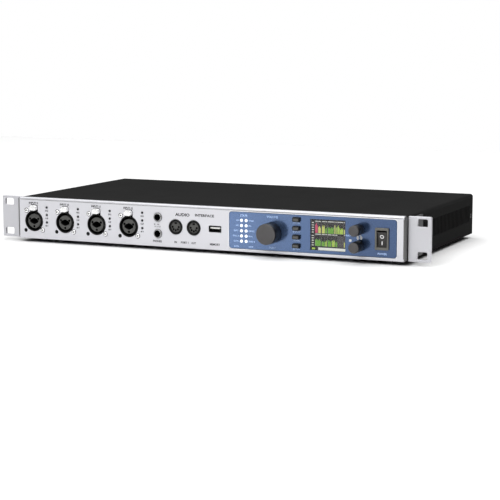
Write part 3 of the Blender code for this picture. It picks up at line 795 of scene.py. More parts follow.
def contact_holes(places, size, near):
    return [(circle(place, size, 20), mouth(0.15, near, near - 7, 2)) for place in places]


def locking_socket(name, face, centre, collar, core_radius, core_out, holes, node_name, depth=14):
    """A black collar round a deep ring groove, and a grey core with its holes."""
    piece = Piece(face, MOULDED, INSERT, HOLLOW_SHADE)
    piece.turned(centre, tube_profile(collar, collar - 0.8, 0.3, -depth, 0.2), 64, closed=True)
    # painted shade: a near black ring at the bottom of the groove
    piece.paint = HOLLOW_SHADE
    piece.turned(centre, [(collar - 0.05, -depth), (collar - 0.05, -depth - 1.0)], 48)
    piece.paint = INSERT
    # painted shade: the holes in the core are near black inside
    piece.plate(circle(centre, core_radius, 64), rim(0.5, core_out, -depth), (), holes, inside=HOLLOW_SHADE)
    piece.finish(name, "socket_black", node_name)


def latch_tab(body, face):
    """The bright release tab: an oval pressing with a sunk middle and a small boss."""
    low, high = limits(body)
    near = near_out(body, face)
    piece = Piece(face, LATCH)
    outline = boxed(body, 0, (high.z - low.z) / 2 - 0.4, 8)
    sunk = grown(outline, -1.6), [(0, near), (-0.2, near - 0.2)]
    piece.plate(outline, rim(0.9, near, -4.4, 5), (), [sunk])
    piece.solid(circle(middle(body), 0.55, 16), [(0, near - 0.15), (0, near + 0.05)])
    piece.finish(f"{body}_tab", "latch_steel", body, body=body)


def latch_well(name, face, centre):
    """The pocket that a release tab moves in, painted near black as painted shade."""
    half, top = NOTCH
    u, v = centre
    outer = slab((u - half + 0.05, u + half - 0.05), (v + 10.9, v + top - 0.05), 2.4, 5)
    inner = grown(outer, -0.12)
    piece = Piece(face, HOLLOW_SHADE)
    piece.plate(outer, [(0, -1.0), (0, -6.3)], (), [(inner, [(0, -1.0), (0, -6.0)])])
    piece.finish(name, "socket_black")


def input_sockets():
    for number, centre in enumerate(COMBOS, 1):
        name = f"input_socket_{number}"
        holes = contact_holes(poles(centre, *INPUT_POLES), 1.15, -0.4)
        floor = bore_floor(f"{name}_bore", front)
        holes.append((eye(centre, JACK_BORE, 1.9), [(0.2, -0.4), (0, -0.7), (0, floor)]))
        locking_socket(f"{name}_face", front, centre, 10.8, 7.7, -0.4, holes, name, 1.5 - floor)
        latch_tab(f"input_latch_{number}", front)
        latch_well(f"input_latch_{number}_well", front, centre)


def round_sockets(name, face, node_name, collar, key_side, ring_metal):
    """Two five-pole round sockets, each a grey core with five contact holes inside a ring."""
    core, shell, depth = 5.3, 0.75, -9
    pole_circle, pole = 3.45, 1.05
    piece = Piece(face, MOULDED, INSERT, HOLLOW_SHADE, ring_metal)
    for centre in round_centres(node_name):
        u, v = centre
        piece.paint = ring_metal
        piece.turned(centre, tube_profile(collar, collar - shell, 0.8, depth, 0.25), 56, closed=True)
        piece.paint = MOULDED
        piece.turned(centre, tube_profile(collar - shell, core + 0.4, 0.3, depth), 56, closed=True)
        piece.turned(centre, [(collar - 0.1, depth), (collar - 0.1, depth - 1)], 40)
        piece.paint = INSERT
        places = arc(centre, pole_circle, 0, -180 * key_side, 4)
        holes = [circle(place, pole, 16) for place in places]
        holes.append(about((u, v + 3.8 * key_side), 2.6, 1.7, 0.5, 3))
        sunk = [(hole, [(0.1, -0.3), (0, -0.45), (0, -6)]) for hole in holes]
        # painted shade: the contact holes are near black inside
        piece.plate(circle(centre, core, 56), rim(0.3, -0.3, depth), (), sunk, inside=HOLLOW_SHADE)
    piece.finish(name, "socket_black", node_name)


def flat_socket(name, face, node_name, shell, tongue):
    """A flat host socket: a folded shell with two springs, and a contact carrier inside."""
    low, high = limits(node_name)
    near = near_out(node_name, face)
    u, v = middle(node_name)
    width, height = high.x - low.x, high.z - low.z
    floor, back = -14, -18
    outline = boxed(node_name, 0, 0.7, 4)
    piece = Piece(face, shell, tongue, CONTACT)
    cavity = grown(outline, -0.45), mouth(0.35, near, floor)
    piece.plate(outline, [(0, near), (0, back)], (), [cavity])
    for side in (-1, 1):
        spring = about((u + side * width / 4.2, v - height / 2 + 0.75), 2.0, 0.35, 0.1, 2)
        piece.solid(spring, [(0, near - 1.6), (0.1, near - 3.2), (0, near - 7)])
    piece.paint = tongue
    piece.solid(about((u, v + 1.05), width - 2.2, 1.7, 0.15, 2), rim(0.1, near - 1.2, floor + 0.1, 2))
    piece.paint = CONTACT
    for k in range(4):
        strip = about((u + (k - 1.5) * 2.4, v + 0.12), 1.0, 0.14, 0.05, 1)
        piece.solid(strip, [(0, near - 2.2), (0, -12)])
    piece.finish(name, "port_steel", node_name)


def ferrule(piece, metal, centre, bush, profile, bore, floor):
    """A bush ending in a bright ring, with its bore painted near black as painted shade."""
    piece.paint = MOULDED
    rings = [piece.ring(circle(centre, size, 48), out) for size, out in bush + profile]
    piece.join(rings[:len(bush) + 1])
    piece.fill(rings[0])
    piece.paint = metal
    piece.join(rings[len(bush):])
    # painted shade: the bore is near black
    piece.paint = HOLLOW_SHADE
    piece.fill(piece.join([rings[-1], piece.ring(circle(centre, bore, 48), floor)])[1])


def bored_block(piece, name, near, radius, centres, floor):
    """A socket's housing behind the panel, filling its node's box, with room for the bores."""
    far = near_far(limits(name), piece.face)[1]
    walls = [(0, near), (0, floor - 0.6)]
    bores = [(circle(centre, radius), walls) for centre in centres]
    piece.plate(boxed(name, 0, 0.8), [(0, near), (0, far)], (), bores)


def phones_sockets():
    """Two headphone sockets: bright ferrules with a bore painted near black as painted shade, in one housing."""
    piece = Piece(front, PLATED, HOLLOW_SHADE, MOULDED)
    profile = [(4.6, 0.2), (4.4, 1.1), (4.2, 1.4), (3.9, 1.5), (3.6, 1.4), (3.4, 1.0)]
    floor = bore_floor("phones_bore_1", front)
    for centre in PHONES:
        ferrule(piece, PLATED, centre, [(4.6, floor - 0.5), (4.6, 0.1)], profile, JACK_BORE, floor)
    piece.paint = MOULDED
    bored_block(piece, "phones_jacks", -6.4, 4.7, PHONES, floor)
    piece.finish("phones_sockets", "chrome", "phones_jacks")


# Front controls


def knob(name):
    """A turned knob: a ribbed black skirt, and a grey face with a fine dished centre."""
    node_name = f"{name}_knob"
    low, high = limits(node_name)
    centre = middle(node_name)
    radius = (high.x - low.x) / 2
    near, far = near_far((low, high), front)
    piece = Piece(front, KNOB_SIDE, KNOB_FACE, origin=(centre[0], 0, centre[1]))
    ribs = 72 if radius > 8 else 44
    sides = ribs * 4
    skirt = []
    for k in range(sides):
        angle = 2 * math.pi * k / sides
        reach = radius - 0.14 * (1 - math.cos(ribs * angle)) / 2
        skirt.append((centre[0] + reach * math.cos(angle), centre[1] + reach * math.sin(angle)))
    plain = circle(centre, radius, sides)
    steps = [  # the chamfered back, the ribs, and the smooth collar with its rounded edge
        (plain, -0.7, far),
        (plain, -0.35, far + 0.35),
        (plain, -0.35, far + 1.0),
        (skirt, 0.0, far + 1.4),
        (skirt, 0.0, near - 2.6),
        (plain, -0.16, near - 2.2),
        (plain, -0.16, near - 0.9),
        (plain, -0.3, near - 0.4),
    ]
    rings = [piece.ring(grown(outline, grow), out) for outline, grow, out in steps]
    back, shoulder = piece.join(rings)
    piece.fill(back)
    piece.paint = KNOB_FACE
    face = [(1 - 0.8 / radius, 0.0), (0.88, 0.0), (0.84, -0.12), (0.6, -0.22), (0.3, -0.28), (0.04, -0.3)]
    dish = [piece.ring(circle(centre, radius * share, sides), near + sink) for share, sink in face]
    piece.fill(piece.join([shoulder, *dish])[1])
    piece.finish(f"{name}_knob_cap", "knob_grey", node_name, body=f"{name}_turn")


def menu_buttons():
    """Keys with a grey face, and a near black skirt and rounded edge that are painted shade."""
    for number in range(1, 5):
        name = f"menu_button_{number}"
        near = near_out(name, front)
        piece = Piece(front, BUTTON, KNOB_SIDE)
        # painted shade: the key's skirt, rounded edge and the outer band of its face take the near black knob
        # moulding
        piece.paint = KNOB_SIDE
        cap = about(middle(name), *BUTTON_SIZE, 0.9, 5)
        shoulder, last = piece.wall(cap, [(0, near - 0.5), (0, -7.8)])
        piece.fill(last)
        crown = [(-0.85, near + 0.02), *rim(0.5, near, near - 0.5, 4)[:-2]]
        rings = [piece.ring(grown(cap, grow), out) for grow, out in crown]
        piece.join([*rings[1:], shoulder])
        piece.bridge(*rings[:2])
        piece.paint = BUTTON
        piece.fill(rings[0])
        piece.finish(f"{name}_cap", "button_grey", name, body=name)


def power_switch():
    """A bezel with a raised rim, and the rocker in it."""
    centre = middle("power_switch_frame")
    near = near_out("power_switch_frame", front)
    piece = Piece(front, BEZEL, MOULDED)
    outer = about(centre, 13.7, 21.5, 0.9, 5)
    inner = about(centre, 10.0, 16.2, 0.6, 5)
    lip = [(0.5, near), (0.2, near - 0.35), (0, near - 1.0), (0, 0.1)]
    piece.plate(outer, rim(0.45, near, 0.1), [(inner, lip)])
    piece.paint = MOULDED
    body = about(centre, 12.2, 19.6, 0.4, 3)
    piece.plate(body, [(0, 0.1), (0, -22)], (), [(inner, [(0, 0.1), (0, -9)])])
    for place in beside([centre], (-3.5, -6.3), (-3.5, 6.3), (3.5, -6.3), (3.5, 6.3)):
        piece.solid(about(place, 2, 0.8, 0.1, 1), [(0, -22), (0, -28)])
    piece.finish("power_switch_bezel", "switch_grey", "power_switch_frame")
    rocker(pivot_of("power_rocker_tilt"), centre)


def rocker(pivot, centre):
    """The rocker at rest stands with its upper end out. It is drawn level and turned about its pivot."""
    tilt = math.radians(7.0)
    half = 7.35  # half the length of its face
    hollow, flatness = 1.45, 1.4

    def face_height(along):
        """The rocker's face is a shallow V, highest at both ends."""
        return hollow * abs(along / half) ** flatness - 0.2

    def tipped(u, out, v):
        """A place that is so far out from the rocker's face, turned with the rocker."""
        back = -out - face_height(v - centre[1]) - pivot.y
        up = v - pivot.z
        turned_back = back * math.cos(tilt) - up * math.sin(tilt)
        return u, pivot.y + turned_back, pivot.z + back * math.sin(tilt) + up * math.cos(tilt)

    piece = Piece(tipped, ROCKER, INK_WHITE, origin=pivot)
    count = 24
    along = [half * (2 * k / count - 1) for k in range(count + 1)]
    columns = []
    for u, sink in ((-4.65, 0.4), (-4.35, 0.1), (-4.0, 0.0), (4.0, 0.0), (4.35, 0.1), (4.65, 0.4)):
        edge = [(centre[0] + u, -sink, centre[1] + v) for v in along]
        edge += [(centre[0] + u, -4.6, centre[1] + v) for v in (half, 3.0, -3.0, -half)]
        places = [Vector(tipped(*place)) - piece.origin for place in edge]
        columns.append([piece.mesh.verts.new(place * MM) for place in places])
    for side in piece.join(columns):
        piece.cover(side)
    piece.paint = INK_WHITE
    piece.turned((centre[0], centre[1] + 2.6), tube_profile(2.0, 1.15, 0.1, -0.1, 0.02), 32, closed=True)
    piece.solid(about((centre[0], centre[1] - 3.6), 0.9, 3.4, 0.1, 2), [(0, -0.1), (0, 0.1)])
    name = "power_rocker"
    piece.finish(f"{name}_cap", "rocker_black", name, body=name)


# Each group of the screen's meters: where it starts and ends, its colour and its height, all as
# shares of the meter field
METERS = (
    (
        (0.02, 0.10, "red", 0.80),
        (0.12, 0.20, "yellow", 0.62),
        (0.24, 0.33, "yellow", 0.66),
        (0.35, 0.40, "green", 0.50),
        (0.43, 0.62, "green", 0.54),
        (0.645, 0.675, "yellow", 0.75),
        (0.69, 0.72, "lime", 0.62),
        (0.74, 0.80, "lime", 0.70),
        (0.81, 0.93, "lime", 0.52),
        (0.955, 0.985, "yellow", 0.50),
    ),
    (
        (0.02, 0.20, "green", 0.58),
        (0.23, 0.33, "green", 0.46),
        (0.35, 0.40, "lime", 0.50),
        (0.43, 0.55, "green", 0.54),
        (0.57, 0.66, "lime", 0.60),
        (0.68, 0.74, "green", 0.48),
        (0.955, 0.985, "yellow", 0.52),
    ),
)
FIELD = (0.115, 0.98)  # left and right edge of the meter fields, as shares of the screen
FIELD_BOTTOMS = (0.545, 0.135)
FIELD_HEIGHT = 0.36
BARS = 42  # meter bars in the whole width of a field


def display():
    """The screen shows two rows of level meters above a white bar, with plain tick marks."""
    face, back = near_far(limits("display_module"), front)
    window_low, window_high = limits("display_window")
    left, width = window_low.x - 0.5, window_high.x - window_low.x + 1
    bottom, tall = window_low.z - 0.5, window_high.z - window_low.z + 1
    piece = Piece(front, *SCREEN.values())

    def mark(colour, u, v, out=0.06):
        """A block of light, between two shares of the screen's width and two of its height."""
        piece.paint = SCREEN[colour]
        across = [left + width * share for share in u]
        up = [bottom + tall * share for share in v]
        piece.solid(slab(across, up, 0.04, 1), [(0, face + out), (0, face)])

    piece.paint = SCREEN["black"]
    parting = -6.4  # between the lit screen and the module's body
    piece.solid(boxed("display_window", 0.5, 0.3, 2), [(0, face), (0, parting)])
    piece.solid(boxed("display_module", 0, 0.6, 2), [(0, parting), (0, back)])
    span = FIELD[1] - FIELD[0]
    for base, groups in zip(FIELD_BOTTOMS, METERS):
        mark("grey", FIELD, (base, base + FIELD_HEIGHT))
        for start, end, colour, share in groups:
            u = (FIELD[0] + span * start, FIELD[0] + span * end)
            mark("white", u, (base + FIELD_HEIGHT + 0.012, base + FIELD_HEIGHT + 0.032))
            count = max(1, round(BARS * (end - start)))
            step = (u[1] - u[0]) / count
            for k in range(count):
                bar = (u[0] + step * (k + 0.1), u[0] + step * (k + 0.9))
                level = share * (0.8 + 0.08 * ((7 * k + round(90 * start)) % 5))
                mark("black", bar, (base + 0.01, base + FIELD_HEIGHT - 0.02), 0.09)
                mark(colour, bar, (base + 0.01, base + FIELD_HEIGHT * level), 0.12)
        for k in range(5):
            tick = base + 0.02 + 0.075 * k
            mark("white", (0.035, 0.09), (tick, tick + 0.024))
    mark("white", (0.22, 0.985), (0.015, 0.10))
    mark("lime", (0.04, 0.13), (0.03, 0.085))
    piece.finish("display_screen", "display_picture", "display_module")
    glass = Piece(front, GLASS)
    glass.solid(boxed("display_window", 0, 0.4), rim(0.2, *near_far(limits("display_window"), front), 2))
    glass.finish("display_glass_pane", "display_glass", "display_window")


# Rear panel


def rear_plate():
    """The dark rear panel with a hole for every socket."""
    piece = Piece(rear, REAR)
    holes = [boxed("mains_inlet", -1.4, 0.5)]
    holes += [circle(centre, REAR_HOLES["round"]) for centre in round_centres("rear_midi_sockets")]
    ports = ("usb_b_port", "remote_port", "thunderbolt_port")
    for name in ("optical_port_a", "optical_port_b", "fibre_transceiver", *ports):
        holes.append(boxed(name, 0.3, 0.4))
    holes += [circle(middle(name), REAR_HOLES["coaxial"]) for name in BNCS]
    holes += [circle(xlr_centre(name), REAR_HOLES["xlr"]) for name in MALE_XLRS]
    holes.append(keyhole(xlr_centre("aes_input"), REAR_HOLES["xlr"], *NOTCH, 1.0))
    for row in JACKS["output"] + JACKS["input"]:
        holes += [circle(centre, REAR_HOLES["jack"], 40) for centre in row]
    near, far = near_far(limits("rear_panel"), rear)
    steps = mouth(0.15, near, far, 2)
    piece.plate(boxed("rear_panel", 0, 0.5), rim(0.2, near, far, 2), [(hole, steps) for hole in holes])
    piece.finish("rear_plate", "rear_black", "rear_panel")


def mains():
    """The mains inlet: a raised surround, a deep recess with two slanted corners, and three pins."""
    near = near_out("mains_inlet", rear)
    centre = middle("mains_inlet")
    inner = two_sided(centre, (12, -8.7), (12, 4.7), (8, 8.7))
    piece = Piece(rear, MOULDED, LATCH)
    lip = [(0.5, near), (0.15, near - 0.3), (0, near - 0.8), (0, 0.3)]
    piece.plate(boxed("mains_inlet", 0, 1.2, 4), rim(0.5, near, 0.3), [(inner, lip)])
    body = boxed("mains_inlet", -2.0, 0.8)
    piece.plate(body, [(0, 0.3), (0, -24)], (), [(inner, [(0, 0.3), (0, -16)])])
    piece.paint = LATCH
    for pin in beside([centre], (0, 3.7), (7, -2.6), (-7, -2.6)):
        piece.solid(about(pin, 2.0, 4.0, 0.4, 3), [(-0.35, -1.5), (-0.15, -1.7), (0, -2.4), (0, -15.9)])
    piece.finish("mains_socket", "socket_black", "mains_inlet")


def optical_ports():
    """Two pairs of optical sockets, each behind a sprung flap: white over outputs, black over inputs."""
    for port, flaps in DOORS.items():
        name = f"optical_port_{port}"
        near = near_out(name, rear)
        piece = Piece(rear, MOULDED)
        places = [(middle(flap)[0], middle(name)[1]) for flap in flaps]
        steps = [(0.35, near), (0, near - 0.5), (0, -11)]
        bays = [(about(place, 7.2, 7.2, 0.5, 3), steps) for place in places]
        piece.plate(boxed(name, 0, 0.6), rim(0.35, near, -15), (), bays)
        for bar in beside(places, (-4.7, 0), (4.7, 0)):
            piece.solid(about(bar, 0.9, 7.6, 0.2, 2), rim(0.15, near + 0.25, near - 0.2, 2))
        piece.finish(f"{name}_body", "socket_black", name)
        for flap, looks in zip(flaps, ((FLAP, "flap_white"), (MOULDED, "socket_black"))):
            shutter(flap, *looks)


def shutter(name, finish, slot):
    """A small door with a moulded frame and a round boss, hung from its upper edge."""
    near, far = near_far(limits(name), rear)
    piece = Piece(rear, finish, origin=pivot_of(f"{name}_swing"))
    dish = boxed(name, -0.9, 0.4), [(0, near), (-0.25, near - 0.25)]
    piece.plate(boxed(name, 0, 0.5), rim(0.2, near, far, 2), (), [dish])
    piece.turned(middle(name), [(1.5, near - 0.3), (1.5, near - 0.12), (1.2, near - 0.02)], 24)
    piece.finish(f"{name}_door", slot, name, body=name)


def fibre():
    """The duplex fibre transceiver: a housing with two keyed mouths and a pale ferrule in each."""
    near = near_out("fibre_transceiver", rear)
    piece = Piece(rear, MOULDED, FLAP, PLATED)
    ports = [opening(f"fibre_port_{word}") for word in ("left", "right")]
    keyed = [two_sided(port, (4.7, -3.8), (4.7, 3.8), (1.6, 3.8), (1.6, 4.6)) for port in ports]
    mouths = [(outline, [(0.3, near), (0, near - 0.6), (0, -5)]) for outline in keyed]
    piece.plate(boxed("fibre_transceiver", 0, 0.6), rim(0.4, near, -30), (), mouths)
    for centre in ports:
        piece.paint = FLAP
        piece.turned(centre, [(1.3, -5.2), (1.3, 0.7), (1.05, 1.0)], 24)
        piece.paint = PLATED
        piece.turned(centre, tube_profile(2.6, 2.1, -2.0, -5.1, 0.15), 24, closed=True)
    piece.finish("fibre_socket", "socket_black", "fibre_transceiver")


def data_ports():
    """The square data port with its blue core, and the small flat one."""
    near = near_out("usb_b_port", rear)
    centre = middle("usb_b_port")
    piece = Piece(rear, CHROME, BLUE_WALL, BLUE_TONGUE)
    inner = two_sided(centre, (5.3, -5.2), (5.3, 2.8), (3.4, 5.2))
    pocket = (inner, mouth(0.25, near, -17, 2))
    piece.plate(boxed("usb_b_port", 0, 0.8), rim(0.2, near, -18, 2), (), [pocket])
    piece.paint = BLUE_WALL
    lining = [(inner, [(-0.45, -0.7), (-0.45, -13.5)])]
    piece.plate(grown(inner, -0.02), [(0, -0.7), (0, -14)], (), lining)
    piece.paint = BLUE_TONGUE
    piece.solid(about(centre, 6.0, 4.0, 0.4, 3), rim(0.25, -0.6, -13.4))
    piece.finish("square_port", "port_steel", "usb_b_port")
    near = near_out("thunderbolt_port", rear)
    centre = middle("thunderbolt_port")
    piece = Piece(rear, KNOB_SIDE, INSERT)
    shell = boxed("thunderbolt_port", 0, 0.9, 4)
    inner = (about(centre, 7.4, 4.6, 0.7, 4), [(0.25, near), (0, near - 0.4), (0, -10)])
    piece.plate(shell, rim(0.15, near, -18, 2), (), [inner])
    piece.paint = INSERT
    piece.solid(about(centre, 4.8, 1.0, 0.3, 2), rim(0.15, -0.6, -9.9, 2))
    piece.finish("small_port", "port_steel", "thunderbolt_port")


def coaxial_sockets():
    """Bayonet sockets: a hex nut, the threaded neck, the barrel with two lugs, and the body behind."""
    for name in BNCS:
        end = near_out(name, rear)
        centre = middle(name)
        piece = Piece(rear, PLATED, HOLLOW_SHADE, MOULDED, CONTACT)
        piece.solid(circle(centre, 7.4, 6), rim(0.5, 2.6, 0.3, 2))
        threads = []
        for k in range(5):
            threads += [(5.4, 2.5 + 0.5 * k), (5.05, 2.75 + 0.5 * k)]
        floor = end - 8.6
        neck = [(4.8, 5.2), (4.8, end - 0.4), (4.5, end), (4.25, end), (4.05, end - 0.3)]
        neck.append((4.05, floor - 0.1))
        piece.turned(centre, threads + neck)
        for lug in beside([centre], (0, -5.0), (0, 5.0)):
            piece.solid(about(lug, 1.9, 1.4, 0.4, 3), rim(0.3, end - 2.6, end - 4.4))
        # painted shade: the gap between the barrel and the centre is near black
        piece.paint = HOLLOW_SHADE
        profile = [(3.0, floor), (3.0, end - 3.1), (2.3, end - 3.1), (2.3, floor)]
        piece.turned(centre, profile, 32, closed=True)
        piece.paint = MOULDED
        piece.turned(centre, [(2.2, floor), (2.2, end - 2.4), (2.0, end - 2.2)], 32)
        piece.paint = CONTACT
        piece.turned(centre, tube_profile(0.75, 0.45, end - 2.0, end - 2.6, 0.05), 20, closed=True)
        piece.paint = MOULDED
        piece.solid(about(centre, 14.0, 13.0, 0.6), rim(0.3, -2.4, -20))
        piece.finish(f"{name}_socket", "chrome", name)


def xlr_outputs():
    """Three-pole sockets with pins: a round collar, an open cup with a key, and three bright pins."""
    for name in MALE_XLRS:
        centre = xlr_centre(name)
        u, v = centre
        near = 0.8
        piece = Piece(rear, MOULDED, INSERT, CONTACT)
        floor = bore_floor(f"{name}_cup", rear)
        profile = [(11.2, floor - 0.5), (11.2, 0.3), (10.9, near), (10.0, near)]
        profile += [(9.6, 0.4), (9.3, 0.1), (9.3, floor)]
        first, last = piece.lathe(centre, profile, 64)
        piece.fill(first)
        piece.paint = INSERT
        piece.fill(last)
        piece.solid(about((u, v + 8.7), 2.2, 1.4, 0.4, 3), rim(0.2, -1.0, -13.9, 2))
        piece.paint = CONTACT
        for place in poles(centre, *XLR_POLES):
            piece.turned(place, [(1.2, -14.2), (1.2, -3.4), (0.9, -2.8), (0.4, -2.5)], 20)
        piece.paint = MOULDED
        bored_block(piece, name, -3.5, 11.3, [centre], floor)
        piece.finish(f"{name}_socket", "socket_black", name)


def xlr_input():
    """The three-pole socket with holes, and its release tab above."""
    centre = xlr_centre("aes_input")
    holes = contact_holes(poles(centre, *XLR_POLES), 1.3, 0.4)
    locking_socket("aes_input_socket", rear, centre, 11.2, 7.8, 0.4, holes, "aes_input")
    latch_tab("aes_input_latch", rear)
    latch_well("aes_input_latch_well", rear, centre)


def jack_banks():
    """The line jacks: black bushes standing proud, each with a bright ring round its bore."""
    profile = [(4.7, 1.9), (4.7, 2.3), (4.4, 2.5), (4.0, 2.5), (3.75, 2.2)]
    for word, rows in JACKS.items():
        name = f"{word}_jacks"
        floor = bore_floor(f"{word}_jack_1_upper_bore", rear)
        piece = Piece(rear, CHROME, HOLLOW_SHADE, MOULDED)
        for centre in rows[0] + rows[1]:
            ferrule(piece, CHROME, centre, [(4.8, floor - 0.5), (4.8, 1.7)], profile, JACK_BORE, floor)
        piece.paint = MOULDED
        bored_block(piece, name, -2.4, 4.9, rows[0] + rows[1], floor)
        piece.finish(f"{word}_jack_bank", "socket_black", name)


def rear_screws():
    """Black screws hold the three-pole sockets, and the cover at its rear corners."""
    sockets = [xlr_centre(name) for name in (*MALE_XLRS, "aes_input")]
    places = beside(sockets, (10.0, 10.0), (-10.0, -10.0))
    screws("rear_screws", rear, places, 2.2, 0.9, KNOB_SIDE, "socket_black")
    for word, face in (("right", right_side), ("left", left_side)):
        screws(f"cover_screws_{word}", face, [(DEPTH - 9.0, 21.0)], 2.4, 0.6, KNOB_SIDE, "socket_black")


# Markings


def front_markings():
    dark = Piece(front, INK_DARK)
    for number, (x, z) in enumerate(COMBOS):
        dark.text(f"INPUT {9 + number}", x - 0.4, z + 19.2, 2.3, 11.0)
    for (x, z), words in zip(LEVELS, [*LEVEL_ROWS] * len(COMBOS)):
        dark.text(words, x, z - 3.6, 1.7, 3.6)
    x, z = PHONES[1]
    between = (PHONES[0][1] + z) / 2
    dark.text("PHONES", x - 0.6, z - 7.8, 2.3, 10.0)
    dark.text("9 / 10", x - 1.5, between + 1.1, 1.5, 6.2)
    dark.text("11 / 12", x - 0.2, between - 1.1, 1.5, 6.8)
    (left, height), (right, _) = round_centres("front_midi_sockets")
    dark.text("IN", left, height - 15.6, 2.2, 2.8)
    dark.text("PORT 1", (left + right) / 2, height - 15.6, 2.2, 8.6)
    dark.text("OUT", right, height - 15.6, 2.2, 5.2)
    dark.text("AUDIO", left + 7.8, height + 12.9, 3.3, 16.5)
    dark.text("INTERFACE", right + 12.4, height + 13.2, 2.7, 21.5)
    x, z = middle("front_usb_socket")
    dark.text("MEMORY", x, z - 15.7, 2.3, 11.5)
    dark.finish("front_markings", "marking_white")


def overlay_markings():
    pale = Piece(front, INK_PALE)
    face = OVERLAY_FACE
    first, second = LAMP_COLUMNS
    pale.text("STATE", (first + second) / 2, OVERLAY_HIGH.z - 3.5, 2.3, 8.0, face)
    words = ("SIG", "OPT", "INPUT", "SYNC A", "CLOCK"), ("WORD", "IN", "OPTIC", "IN A", "SYNC B")
    widths = (2.8, 3.6, 5.4, 6.4, 5.6), (5.6, 2.6, 6.2, 4.2, 6.8)
    for side, column, names, sizes in zip((-1, 1), LAMP_COLUMNS, words, widths):
        for row, name, width in zip(LAMP_ROWS, names, sizes):
            pale.text(name, column + side * (2.9 + width / 2), row, 1.6, width, face)
    pale.text("DATA", first - 5.4, OVERLAY_LOW.z + 2.3, 1.6, 5.2, face)
    pale.text("HOST", second + 5.6, OVERLAY_LOW.z + 2.2, 1.7, 5.0, face)
    x, z = middle("volume_knob")
    pale.text("VOLUME", x, z + 15.6, 2.2, 12.0, face)
    pale.text("PUSH", x, z - 15.2, 1.9, 6.6, face)
    for number, name in enumerate(("METER", "INPUT", "MIXER", "SETUP"), 1):
        x, z = middle(f"menu_button_{number}")
        pale.text(name, x, z - 3.4, 1.6, 7.6, face)
    x, z = middle("power_switch_frame")
    pale.text("POWER", x + 0.3, z - 14.6, 2.0, 9.4, face)
    x, z = middle("upper_knob")
    between = (z + middle("lower_knob")[1]) / 2
    pale.text("SELECT", x - 11.6, between + 1.4, 1.5, 5.4, face)
    pale.finish("overlay_markings", "marking_white")
    white = Piece(front, INK_WHITE)
    shapes = [about((x + side * 1.7, between - 0.3), 2.2, 3.6, 0.9, 4) for side in (-1, 1)]
    shapes.append(about((x, between + 2.3), 3.6, 0.6, 0.25, 2))
    shapes.append(about((x - 9.4, between - 3.4), 2.4, 2.4, 0.5, 4))
    for shape in shapes:
        white.solid(shape, [(0, face + INK), (0, face - INK)])
    white.finish("overlay_symbols", "marking_white")


# Words on the rear: (words, x, z, height, width), with x as seen from the front
REAR_WORDS = (
    ("DIGITAL AUDIO", -13.0, 38.3, 1.9, 18.0),
    ("OUT", -4.4, 5.8, 2.0, 5.4),
    ("IN", -30.1, 5.6, 2.0, 2.8),
    ("PORT B", 81.3, 24.6, 1.8, 9.0),
    ("PORT A", 54.5, 24.6, 1.8, 9.0),
    ("DATA", 86.8, 6.0, 2.0, 7.0),
    ("HOST", 71.5, 6.0, 1.8, 6.0),
    ("REMOTE", 57.4, 6.0, 2.0, 10.5),
    ("WORD CLOCK", 31.0, 5.2, 1.8, 20.0),
    ("ROUND PORTS", 123.6, 35.5, 2.0, 17.0),
    ("OUT", 133.6, 30.4, 2.0, 5.4),
    ("IN", 113.7, 30.4, 2.0, 2.8),
    ("OUT", 133.6, 7.2, 2.0, 5.4),
    ("IN", 113.7, 7.2, 2.0, 2.8),
    ("100 - 240 V   50 / 60 Hz", 187.0, 5.4, 1.6, 22.0),
    ("2", -107.9, 37.0, 2.6, 1.8),
    ("1", -133.2, 37.7, 2.6, 0.7),
    ("BALANCED LINE LEVEL OUTPUTS", -94.0, 5.0, 2.0, 60.0),
    ("BALANCED LINE LEVEL INPUTS", -181.5, 4.5, 2.0, 57.0),
)
DIVIDERS = (-44.6, -148.0)
STICKER = (154.2, 23.8)
LABEL_OFFSET = (-6.6, 5.6)  # of a jack's number from its axis
LABEL_LIMIT = -210.6  # keeps the last number on the panel
JACK_CLEARANCE = 5.9  # from a jack's axis to the line that leads to the next one
JACK_LABELS = {"output": ("753", "864"), "input": ("7531", "8642")}


def rear_markings():
    """White legends and dividing lines, and the sticker with its row of plain bars."""
    white = Piece(rear, INK_WHITE)
    for words, x, z, height, width in REAR_WORDS:
        white.text(words, x, z, height, width)
    white.text("SERVICE BY QUALIFIED PERSONNEL ONLY", 168.3, 21.0, 1.1, 30.0, upright=True)
    low, high = limits("rear_panel")
    for x in DIVIDERS:
        white.stripe((x - 0.45, x + 0.45), (low.z + 3, high.z - 3))
    ways = [(middle(name)[0], 39.6) for flaps in DOORS.values() for name in flaps]
    ways += [(opening(f"fibre_port_{word}")[0], 40.3) for word in ("right", "left")]
    for (x, z), word in zip(ways, ("OUT", "IN") * 3):
        white.text(word, x, z, 1.7, 4.4 if word == "OUT" else 2.2)
    for word, numbers in JACK_LABELS.items():
        for row, labels in zip(JACKS[word], numbers):
            for (x, z), label in zip(row, labels):
                place = max(x + LABEL_OFFSET[0], LABEL_LIMIT)
                white.text(label, place, z + LABEL_OFFSET[1], 2.2, 0.6 if label == "1" else 1.5)
            for (x, z), (following, _) in zip(row, row[1:]):
                white.stripe((following + JACK_CLEARANCE, x - JACK_CLEARANCE), (z - 0.3, z + 0.3))
    white.finish("rear_markings", "marking_white")
    x, z = STICKER
    sticker = Piece(rear, PAPER, PRINT)
    sticker.solid(about((x, z), 17.4, 5.0, 0.3, 2), [(0, 0.06), (0, -0.02)])
    sticker.solid(about((x + 3.6, z - 9.8), 7.0, 1.9, 0.2, 2), [(0, INK), (0, -0.02)])
    sticker.paint = PRINT
    bars, pitch = 22, 0.62
    for k in range(bars):
        width = 0.175 + 0.15 * ((k * 7) % 3)
        sticker.solid(about((x - 6.9 + pitch * k, z + 0.4), width, 3.2, 0.02, 1), [(0, 0.09), (0, 0.05)])
    sticker.finish("rear_sticker", "marking_white")


# Chassis


